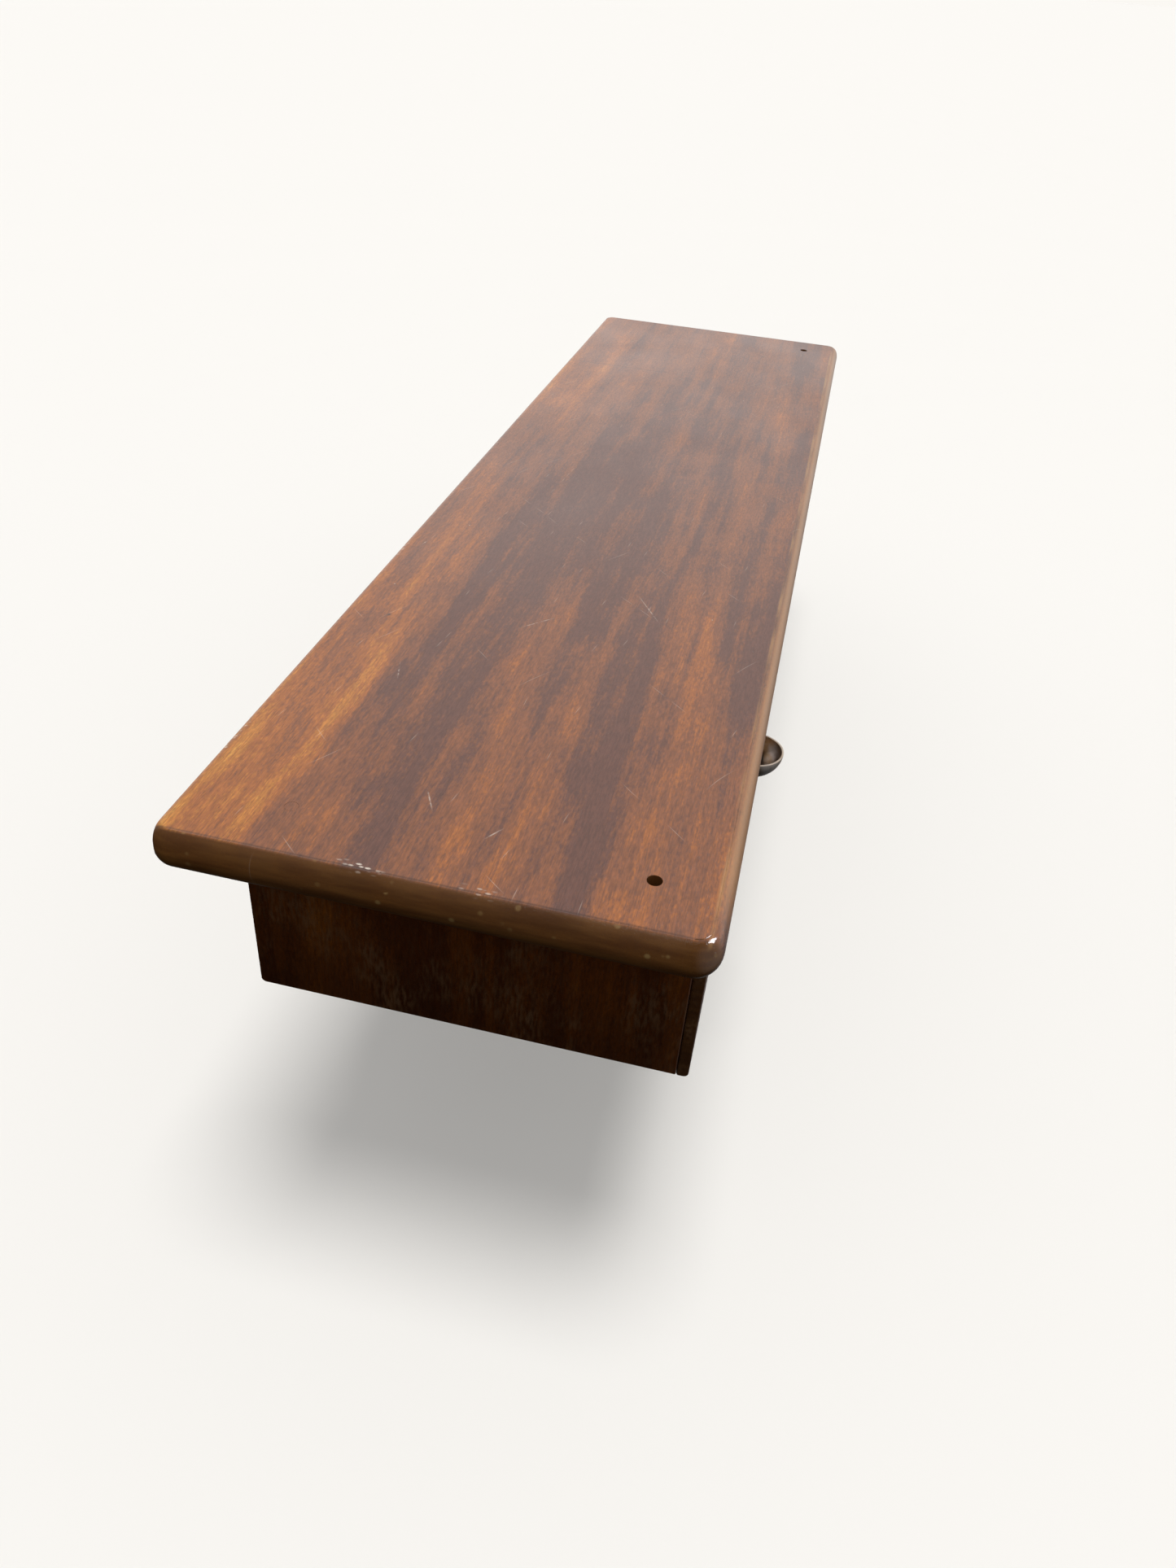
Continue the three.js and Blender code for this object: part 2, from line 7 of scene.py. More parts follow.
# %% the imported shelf
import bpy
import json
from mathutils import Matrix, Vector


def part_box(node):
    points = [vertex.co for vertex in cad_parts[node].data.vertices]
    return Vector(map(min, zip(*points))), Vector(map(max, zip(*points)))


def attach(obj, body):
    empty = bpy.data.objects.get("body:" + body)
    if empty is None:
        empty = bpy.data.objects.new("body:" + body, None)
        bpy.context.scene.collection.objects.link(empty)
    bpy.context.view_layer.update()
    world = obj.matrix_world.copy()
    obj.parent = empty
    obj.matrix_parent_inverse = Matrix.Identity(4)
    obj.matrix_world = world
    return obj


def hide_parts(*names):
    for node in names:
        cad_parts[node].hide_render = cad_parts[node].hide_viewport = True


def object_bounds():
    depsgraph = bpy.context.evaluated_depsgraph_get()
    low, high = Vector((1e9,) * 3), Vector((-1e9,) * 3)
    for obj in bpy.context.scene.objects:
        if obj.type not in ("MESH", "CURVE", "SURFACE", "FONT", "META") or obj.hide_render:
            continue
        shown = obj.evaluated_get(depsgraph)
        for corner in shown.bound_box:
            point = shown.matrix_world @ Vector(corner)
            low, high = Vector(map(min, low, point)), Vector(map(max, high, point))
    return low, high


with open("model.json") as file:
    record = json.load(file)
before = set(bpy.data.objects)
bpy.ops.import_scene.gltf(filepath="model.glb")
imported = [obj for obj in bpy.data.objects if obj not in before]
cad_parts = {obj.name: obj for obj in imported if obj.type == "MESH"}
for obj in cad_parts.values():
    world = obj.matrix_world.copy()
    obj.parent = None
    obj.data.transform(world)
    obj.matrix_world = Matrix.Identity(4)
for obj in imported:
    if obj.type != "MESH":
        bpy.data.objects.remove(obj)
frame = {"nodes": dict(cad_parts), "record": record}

frame_low, frame_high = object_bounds()
print("the shelf measures", [round(side, 4) for side in frame_high - frame_low], "m")

# %% [markdown]
# The camera stands off the left end of the shelf, a little above it, and looks along it and down, the way
# a person sees the shelf when walking past. A fairly wide lens makes the near end large and the far end
# small. The camera's place is measured from the top board, so it would follow a shelf of another size.

# %% the camera
import json
from math import cos, pi, radians, sin

import bmesh
import bpy
from mathutils import Euler, Matrix, Vector

top_low, top_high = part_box("top_board")
BEYOND_THE_END = 0.3474
ABOVE_THE_TOP = 0.3347
TOWARDS_THE_FRONT = 0.1304
LOOK_DOWN = radians(36.33)
TURN_LEFT = radians(10.11)
TILT = radians(4.94)
LENS = 25.82

camera_data = bpy.data.cameras.new("camera")
camera_data.lens = LENS
camera_data.sensor_width = 36
camera_data.clip_start = 0.01
camera = bpy.data.objects.new("camera", camera_data)
camera.location = (top_low.x - BEYOND_THE_END, -TOWARDS_THE_FRONT, top_high.z + ABOVE_THE_TOP)
aim = Euler((pi / 2 - LOOK_DOWN, 0, TURN_LEFT - pi / 2)).to_matrix() @ Matrix.Rotation(TILT, 3, "Z")
camera.rotation_euler = aim.to_euler()
bpy.context.scene.collection.objects.link(camera)
bpy.context.scene.camera = camera
print("camera at", [round(place, 3) for place in camera.location])

# %% [markdown]
# Node trees are easier to read when adding a node takes one line. `add` makes a node, sets its options, and
# fills its inputs by name: a number or colour is typed in, and another node's output is linked.

# %% helpers for node trees
def add(tree, kind, inputs=None, **options):
    node = tree.nodes.new(kind)
    for name, value in options.items():
        setattr(node, name, value)
    for name, value in (inputs or {}).items():
        if isinstance(value, bpy.types.NodeSocket):
            tree.links.new(value, node.inputs[name])
        else:
            node.inputs[name].default_value = value
    return node


def maths(tree, operation, first, second=0.0, third=0.0):
    return add(tree, "ShaderNodeMath", {0: first, 1: second, 2: third}, operation=operation).outputs[0]


def between(tree, value, low, high, to_low=0.0, to_high=1.0):
    """Turns a value's stretch from low to high into a soft step from to_low to to_high."""
    inputs = {"Value": value, "From Min": low, "From Max": high, "To Min": to_low, "To Max": to_high}
    return add(tree, "ShaderNodeMapRange", inputs, interpolation_type="SMOOTHSTEP").outputs["Result"]


def mixed(tree, share, first, second, way="MIX"):
    """One colour laid over another: share is how much of the second shows."""
    inputs = {0: share, 6: first, 7: second}
    return add(tree, "ShaderNodeMix", inputs, data_type="RGBA", blend_type=way).outputs[2]


def close_to(tree, value, place, reach):
    """1 where value is at place, falling to 0 at reach away."""
    off = maths(tree, "ABSOLUTE", maths(tree, "SUBTRACT", value, place))
    return between(tree, off, 0.0, reach, 1.0, 0.0)


def colours_along(tree, value, stops):
    """A colour for each value, through a list of (value, colour)."""
    ramp = add(tree, "ShaderNodeValToRGB", {"Fac": value})
    ramp.color_ramp.interpolation = "EASE"
    for place, colour in stops[1:-1]:
        ramp.color_ramp.elements.new(place).color = (*colour, 1)
    for element, (place, colour) in zip(ramp.color_ramp.elements, stops):
        element.position = place
        element.color = (*colour, 1)
    return ramp.outputs["Color"]


# %% [markdown]
# The floor is a plain pale sheet well below the shelf, because the shelf hangs on a wall. In a studio the
# floor would be flagged with black cloth, so that its brightness doesn't fill the underside and the dark
# end panel. Here only the camera sees the floor. It glows faintly by itself and takes the rest of its
# brightness from the lamp, which sets how deep the shadow is.

# %% the floor
PALE = (0.965, 0.940, 0.896)
FLOOR_DROP = 0.21
FLOOR_HALF = 400.0
FLOOR_GLOW = 0.177
FLOOR_TAKES = 0.680

scene = bpy.context.scene
scene.view_settings.view_transform = "Standard"


def bare_object(shape, name):
    """Turns a bmesh into an object that has no finish yet."""
    mesh = bpy.data.meshes.new(name)
    shape.to_mesh(mesh)
    shape.free()
    piece = bpy.data.objects.new(name, mesh)
    scene.collection.objects.link(piece)
    return piece


floor_shape = bmesh.new()
bmesh.ops.create_grid(floor_shape, x_segments=1, y_segments=1, size=FLOOR_HALF)
bmesh.ops.translate(floor_shape, verts=floor_shape.verts, vec=(0, 0, frame_low.z - FLOOR_DROP))
floor = bare_object(floor_shape, "floor")
floor.visible_diffuse = False
floor.visible_glossy = False

floor_paint = bpy.data.materials.new("pale_floor")
floor_paint.use_nodes = True
tree = floor_paint.node_tree
tree.nodes.clear()
takes = [FLOOR_TAKES * part / PALE[0] for part in PALE]
matt = add(tree, "ShaderNodeBsdfDiffuse", {"Color": (*takes, 1)})
glow = add(tree, "ShaderNodeEmission", {"Color": (*PALE, 1), "Strength": FLOOR_GLOW})
both = add(tree, "ShaderNodeAddShader", {0: matt.outputs[0], 1: glow.outputs[0]})
add(tree, "ShaderNodeOutputMaterial", {"Surface": both.outputs[0]})
floor.data.materials.append(floor_paint)
print("floor", FLOOR_DROP, "m below the shelf's underside")

# %% [markdown]
# The light is one soft lamp high above the shelf, a window to the front right, and a pale room. The lamp
# makes the shadow but never shows in the polish. The window shows only in the polish, as the bright glint
# on the rounded corners. In reflections the room is bright towards the far end, brightest at a patch of the
# wall there, paler in front, and dim behind the camera and below. So a grey veil lies over the far end of
# the top and none over the end panel. The camera sees the room as an even backdrop.

# %% the light
LAMP_STRENGTH = 2.25
LAMP_SPREAD = radians(22)
LAMP_LEAN = (radians(4.3), radians(-6))
ROOM_FILL = 0.52
ROOM_GLOSS = 0.88
WALL_GLOSS = 0.30
ROOM_FRONT = 0.36
FILL_TINT = (0.97, 0.98, 1.0)
GLOSS_TINT = (0.985, 0.965, 0.955)
TOWARDS_LIGHT = (0.55, -0.12, 0.85)
TOWARDS_FAR_END = (1.0, 0.0, 0.12)
TOWARDS_WALL = (0.95, 0.26, 0.2)
TOWARDS_FRONT = (-0.25, -0.95, 0.0)
WINDOW_WAY = Vector((0.26, -0.66, 0.68))
WINDOW_AWAY = 2.6
WINDOW_SIDE = 1.05
WINDOW_POWER = 70.0

lamp_data = bpy.data.lights.new("lamp", "SUN")
lamp_data.energy = LAMP_STRENGTH
lamp_data.angle = LAMP_SPREAD
lamp = bpy.data.objects.new("lamp", lamp_data)
lamp.rotation_euler = (LAMP_LEAN[0], LAMP_LEAN[1], 0)
lamp.visible_glossy = False
scene.collection.objects.link(lamp)

window_data = bpy.data.lights.new("window", "AREA")
window_data.size = WINDOW_SIDE
window_data.energy = WINDOW_POWER
window_data.color = (0.93, 0.93, 1.0)
window = bpy.data.objects.new("window", window_data)
near_corner = Vector((top_low.x, top_low.y, top_high.z))
window.location = near_corner + WINDOW_AWAY * WINDOW_WAY.normalized()
window.rotation_euler = WINDOW_WAY.to_track_quat("Z", "Y").to_euler()
window.visible_diffuse = False
scene.collection.objects.link(window)

room = bpy.data.worlds.new("room")
room.use_nodes = True
scene.world = room
tree = room.node_tree
tree.nodes.clear()
way = add(tree, "ShaderNodeTexCoord").outputs["Generated"]


def facing(tree, towards):
    """1 for the part of the room that lies exactly towards a direction, -1 for the part behind it."""
    inputs = {0: way, 1: Vector(towards).normalized()}
    return add(tree, "ShaderNodeVectorMath", inputs, operation="DOT_PRODUCT").outputs["Value"]


fill = maths(tree, "MULTIPLY", between(tree, facing(tree, TOWARDS_LIGHT), -0.95, 0.5), ROOM_FILL)
gloss = maths(tree, "MULTIPLY", between(tree, facing(tree, TOWARDS_FAR_END), -0.05, 0.8), ROOM_GLOSS)
wall = maths(tree, "MULTIPLY", between(tree, facing(tree, TOWARDS_WALL), 0.93, 1.0), WALL_GLOSS)
gloss = maths(tree, "ADD", gloss, wall)
gloss = maths(tree, "MULTIPLY", gloss, between(tree, facing(tree, (0, 0, 1)), -0.5, 0.0, 0.2, 1.0))
front = maths(tree, "MULTIPLY", between(tree, facing(tree, TOWARDS_FRONT), 0.35, 0.95), ROOM_FRONT)
fill = add(tree, "ShaderNodeBackground", {"Color": (*FILL_TINT, 1), "Strength": fill})
gloss = maths(tree, "ADD", gloss, front)
gloss = add(tree, "ShaderNodeBackground", {"Color": (*GLOSS_TINT, 1), "Strength": gloss})
ray = add(tree, "ShaderNodeLightPath")
shaders = {0: ray.outputs["Is Glossy Ray"], 1: fill.outputs[0], 2: gloss.outputs[0]}
felt = add(tree, "ShaderNodeMixShader", shaders)
seen = add(tree, "ShaderNodeBackground", {"Color": (*PALE, 1), "Strength": 1.0})
shaders = {0: ray.outputs["Is Camera Ray"], 1: felt.outputs[0], 2: seen.outputs[0]}
shown = add(tree, "ShaderNodeMixShader", shaders)
add(tree, "ShaderNodeOutputWorld", {"Surface": shown.outputs[0]})
print("lamp, window and room are set")

# %% [markdown]
# All the woods are one idea: noise stretched along the grain. Wide, long noise makes the dark and amber
# bands, narrower noise makes the streaks inside them, and hair-fine noise makes the fibres. Short dark
# dashes are the open pores. The noise is a solid block, so a board cut from it shows long figure on its
# faces and dots on its ends, as real timber does. `log_place` turns the block so that its X runs along the
# board's grain, and shifts it so that no two boards show the same piece of the log.

# %% timber helpers
GRAIN_TURN = {"X": (0, 0, 0), "Y": (0, 0, -pi / 2), "Z": (0, pi / 2, 0)}
GRAIN_WAY = {"X": (1, 0, 0), "Y": (0, 1, 0), "Z": (0, 0, 1)}


def log_place(tree, along, shift):
    here = add(tree, "ShaderNodeTexCoord").outputs["Object"]
    turned = add(tree, "ShaderNodeMapping", {"Vector": here, "Rotation": GRAIN_TURN[along]})
    moved = {0: turned.outputs[0], 1: shift}
    return add(tree, "ShaderNodeVectorMath", moved, operation="ADD").outputs["Vector"]


def streaks(tree, place, size, detail=2.0, wander=0.0):
    """Noise whose marks measure about size = (along, across, deep), in metres."""
    squeeze = {0: place, 1: tuple(1 / side for side in size)}
    stretched = add(tree, "ShaderNodeVectorMath", squeeze, operation="MULTIPLY").outputs["Vector"]
    inputs = {"Vector": stretched, "Scale": 1.0, "Detail": detail, "Distortion": wander}
    return add(tree, "ShaderNodeTexNoise", inputs).outputs[0]


def end_grain(tree, along):
    """1 where the surface is cut across the grain, 0 where it runs along it."""
    facing = add(tree, "ShaderNodeTexCoord").outputs["Normal"]
    inputs = {0: facing, 1: GRAIN_WAY[along]}
    across = add(tree, "ShaderNodeVectorMath", inputs, operation="DOT_PRODUCT").outputs["Value"]
    return between(tree, maths(tree, "ABSOLUTE", across), 0.12, 0.5)


HAIR = 0.00032
ROW_SHIFT = 7.0


def scratches_along(tree, angle, length, apart, kept):
    """Faint straight scratches. The board is seen through a grid of long thin cells turned to an angle,
    and a few of the cells hold one hair-fine line that fades at both ends."""
    here = add(tree, "ShaderNodeTexCoord").outputs["Object"]
    turned = add(tree, "ShaderNodeMapping", {"Vector": here, "Rotation": (0.0, 0.0, angle)}).outputs[0]
    bend = streaks(tree, here, (0.07, 0.07, 0.07), detail=1.0)
    apart_axes = add(tree, "ShaderNodeSeparateXYZ", {"Vector": turned}).outputs
    across = maths(tree, "MULTIPLY_ADD", bend, 0.012, apart_axes["Y"])
    cell_across = maths(tree, "DIVIDE", across, apart)
    row = maths(tree, "FLOOR", cell_across)
    slide = add(tree, "ShaderNodeTexWhiteNoise", {"W": row}, noise_dimensions="1D").outputs["Value"]
    slid = maths(tree, "MULTIPLY", slide, ROW_SHIFT)
    cell_along = maths(tree, "ADD", maths(tree, "DIVIDE", apart_axes["X"], length), slid)
    spot = add(tree, "ShaderNodeCombineXYZ", {"X": row, "Y": maths(tree, "FLOOR", cell_along)}).outputs[0]
    draw = add(tree, "ShaderNodeTexWhiteNoise", {"Vector": spot}, noise_dimensions="3D").outputs["Value"]
    line = close_to(tree, maths(tree, "FRACT", cell_across), 0.5, HAIR / apart)
    ends = close_to(tree, maths(tree, "FRACT", cell_along), 0.5, 0.5)
    chosen = maths(tree, "LESS_THAN", draw, kept)
    return maths(tree, "MULTIPLY", maths(tree, "MULTIPLY", line, ends), chosen)


def new_finish(name, colour, roughness, **fixed):
    """A material whose shader is ready for its colour and roughness to be linked."""
    finish = bpy.data.materials.new(name)
    finish.use_nodes = True
    shader = finish.node_tree.nodes["Principled BSDF"]
    shader.inputs["Base Color"].default_value = (*colour, 1)
    shader.inputs["Roughness"].default_value = roughness
    for socket, value in fixed.items():
        shader.inputs[socket.replace("_", " ")].default_value = value
    finish.diffuse_color = (*colour, 1)
    return finish, finish.node_tree, shader


def raise_grain(tree, shader, height, depth, strength=1.0):
    """Lets the light feel a height that runs from 0 to depth metres."""
    inputs = {"Height": height, "Distance": depth, "Strength": strength}
    bump = add(tree, "ShaderNodeBump", inputs)
    tree.links.new(bump.outputs["Normal"], shader.inputs["Normal"])
    return bump


# %% [markdown]
# Mahogany under old polish. `figure` adds up the bands, streaks and lines into one value from dark to light,
# and a ramp turns it into purple-brown, red-brown, orange-brown and amber. Cut across the grain the wood
# drinks more stain, so the ends go darker and lose their streaks. A satin coat lies over it.

# %% mahogany
MAHOGANY = [
    (0.00, (0.125, 0.050, 0.033)),
    (0.30, (0.235, 0.082, 0.032)),
    (0.52, (0.360, 0.116, 0.027)),
    (0.74, (0.490, 0.182, 0.030)),
    (1.00, (0.650, 0.315, 0.060)),
]
END_STAIN = (0.105, 0.040, 0.011)
END_RINGS = (0.165, 0.070, 0.018)
IVORY = (0.72, 0.62, 0.52)
MIDDLE_TONE = 0.46
PORE_DEPTH = 0.00012


def figure(tree, place):
    bands = streaks(tree, place, (0.50, 0.043, 0.045), detail=1.0, wander=0.4)
    ribbons = streaks(tree, place, (0.17, 0.0125, 0.016), detail=2.5, wander=0.3)
    lines = streaks(tree, place, (0.05, 0.0028, 0.004), detail=4.0)
    shimmer = streaks(tree, place, (0.034, 0.021, 0.03), detail=3.0)
    speckle = streaks(tree, place, (0.0030, 0.0011, 0.0012), detail=2.0)
    value = maths(tree, "MULTIPLY_ADD", bands, 0.66, -0.075)
    for noise, weight in ((ribbons, 0.75), (lines, 0.32), (shimmer, 0.32), (speckle, 0.40)):
        value = maths(tree, "MULTIPLY_ADD", maths(tree, "SUBTRACT", noise, 0.5), weight, value)
    return value


def mahogany(name, along, shift, depth=1.0, stops=MAHOGANY, own_figure=None, wear=None):
    """depth darkens the stain; own_figure and wear let a board change the marks."""
    finish, tree, shader = new_finish(name, stops[2][1], 0.36, Coat_Weight=0.25, Coat_Roughness=0.16)
    place = log_place(tree, along, shift)
    value = figure(tree, place)
    if own_figure:
        value = own_figure(tree, value)
    colour = colours_along(tree, value, stops)
    fibre = streaks(tree, place, (0.014, 0.00055, 0.0007), detail=2.0)
    flicker = streaks(tree, place, (0.0045, 0.0010, 0.0012), detail=3.0)
    colour = mixed(tree, 1.0, colour, between(tree, flicker, 0.28, 0.72, 0.82, 1.18), "MULTIPLY")
    colour = mixed(tree, between(tree, fibre, 0.35, 0.75, 0.0, 0.35), colour, (0.05, 0.02, 0.012, 1), "MIX")
    pores = between(tree, streaks(tree, place, (0.0042, 0.00034, 0.0005), detail=1.0), 0.66, 0.72)
    colour = mixed(tree, maths(tree, "MULTIPLY", pores, 0.5), colour, (0.03, 0.012, 0.008, 1))
    ends = end_grain(tree, along)
    rings = streaks(tree, place, (0.02, 0.034, 0.0042), detail=4.0)
    end_colour = mixed(tree, between(tree, rings, 0.3, 0.7), (*END_STAIN, 1), (*END_RINGS, 1))
    colour = mixed(tree, maths(tree, "MULTIPLY", ends, 0.92), colour, end_colour)
    if depth != 1.0:
        colour = mixed(tree, 1.0, colour, (depth, depth * 0.93, depth * 0.85, 1), "MULTIPLY")
    cloud = streaks(tree, place, (0.09, 0.06, 0.06), detail=3.0)
    roughness = maths(tree, "MULTIPLY_ADD", cloud, 0.22, 0.25)
    height = maths(tree, "MULTIPLY_ADD", pores, -0.6, maths(tree, "MULTIPLY", fibre, 0.35))
    ripple = streaks(tree, place, (0.0022, 0.0022, 0.0022), detail=2.0)
    height = maths(tree, "MULTIPLY_ADD", ripple, 0.6, height)
    if wear:
        colour, roughness, height = wear(tree, place, colour, roughness, height)
    tree.links.new(colour, shader.inputs["Base Color"])
    tree.links.new(roughness, shader.inputs["Roughness"])
    raise_grain(tree, shader, height, PORE_DEPTH, 0.55)
    return finish


# %% [markdown]
# The top board has the clearest figure. A light sapwood band runs along its back edge and is strongest near
# the left corner, and the heart is darker around the middle. The extra value below is added to the noise
# before the ramp colours it, so these zones have the same grain as the rest and no hard edge.

# %% the top's own figure
def object_axes(tree):
    here = add(tree, "ShaderNodeTexCoord").outputs["Object"]
    apart = add(tree, "ShaderNodeSeparateXYZ", {"Vector": here})
    return apart.outputs["X"], apart.outputs["Y"], apart.outputs["Z"]


def top_figure(tree, value):
    x, y, z = object_axes(tree)
    contrast = between(tree, x, top_low.x, top_low.x + 0.7, 1.35, 1.15)
    value = maths(tree, "MULTIPLY_ADD", maths(tree, "SUBTRACT", value, MIDDLE_TONE), contrast, MIDDLE_TONE)
    sapwood = between(tree, y, top_high.y - 0.085, top_high.y - 0.002)
    fade = between(tree, x, top_low.x, top_low.x + 0.45, 0.27, 0.15)
    near_glow = between(tree, x, top_low.x, top_low.x + 0.30, 0.09, 0.0)
    heart = maths(tree, "MULTIPLY", between(tree, x, -0.38, -0.05), between(tree, x, 0.0, 0.42, 1.0, 0.0))
    across = between(tree, maths(tree, "ABSOLUTE", maths(tree, "SUBTRACT", y, 0.02)), 0.02, 0.10, 1.0, 0.0)
    dark = maths(tree, "MULTIPLY_ADD", maths(tree, "MULTIPLY", heart, across), -0.24, near_glow)
    value = maths(tree, "ADD", value, dark)
    return maths(tree, "MULTIPLY_ADD", sapwood, fade, value)


# %% [markdown]
# Years of use show on the top. Hair scratches run in all directions, and five longer ones have places of
# their own. Polish has chipped off at two knocks on the left end and here and there along the back. Where
# the flat turns over, the line at the left end, in the quirk, is painted darker as shade. The front line
# and the upper half of the front roll are lighter, partly worn by hands and partly a painted highlight. The
# outer part of the left end's roll is painted darker as shade, most on its upper part.
# There is a small dent near the back and a crack across the grain near the far end. Each is a thin mask
# made from the board's own coordinates. The deeper ones change gloss and height as well, because a mark
# that only changes colour looks printed.

# %% the top's wear
NOSE = 0.0067
KNOCKED_AT = ((0.034, 0.016), (-0.023, 0.013))
CRACK_FROM_RIGHT = 0.192
DENT_FROM_LEFT = 0.233
DENT_FROM_BACK = 0.027
# gold and amber for the front edge: partly worn polish, partly painted highlight
WORN_GOLD_AND_HIGHLIGHT = (0.50, 0.27, 0.10)
FRONT_ROLL_AMBER_AND_HIGHLIGHT = (0.50, 0.24, 0.07)
# dark colour painted as shade along the quirk at the left end
QUIRK_SHADE = (0.04, 0.02, 0.012)


def flecks(tree, place, spacing, size, kept):
    """Small round marks, one in each cell of a honeycomb, of which a share is kept."""
    inputs = {"Vector": place, "Scale": 1 / spacing, "Randomness": 1.0}
    cells = add(tree, "ShaderNodeTexVoronoi", inputs)
    spot = between(tree, cells.outputs["Distance"], 0.4 * size / spacing, size / spacing, 1.0, 0.0)
    draw = add(tree, "ShaderNodeSeparateXYZ", {"Vector": cells.outputs["Color"]}).outputs["X"]
    return maths(tree, "MULTIPLY", spot, maths(tree, "GREATER_THAN", draw, 1 - kept))


def one_scratch(tree, x, y, from_end, from_back, angle, length):
    """One scratch at a place measured from the top's left end and its back edge."""
    off_x = maths(tree, "SUBTRACT", x, top_low.x + from_end)
    off_y = maths(tree, "SUBTRACT", y, top_high.y - from_back)
    along = maths(tree, "MULTIPLY_ADD", off_x, cos(angle), maths(tree, "MULTIPLY", off_y, sin(angle)))
    across = maths(tree, "MULTIPLY_ADD", off_x, -sin(angle), maths(tree, "MULTIPLY", off_y, cos(angle)))
    line = close_to(tree, across, 0.0, 0.0006)
    return maths(tree, "MULTIPLY", line, close_to(tree, along, 0.0, length))


SCRATCHES = [
    (0.255, 0.116, radians(-41), 0.016),
    (0.297, 0.178, radians(31), 0.022),
    (0.064, 0.113, radians(27), 0.010),
    (0.173, 0.056, radians(16), 0.011),
    (0.048, 0.150, radians(-32), 0.008),
]


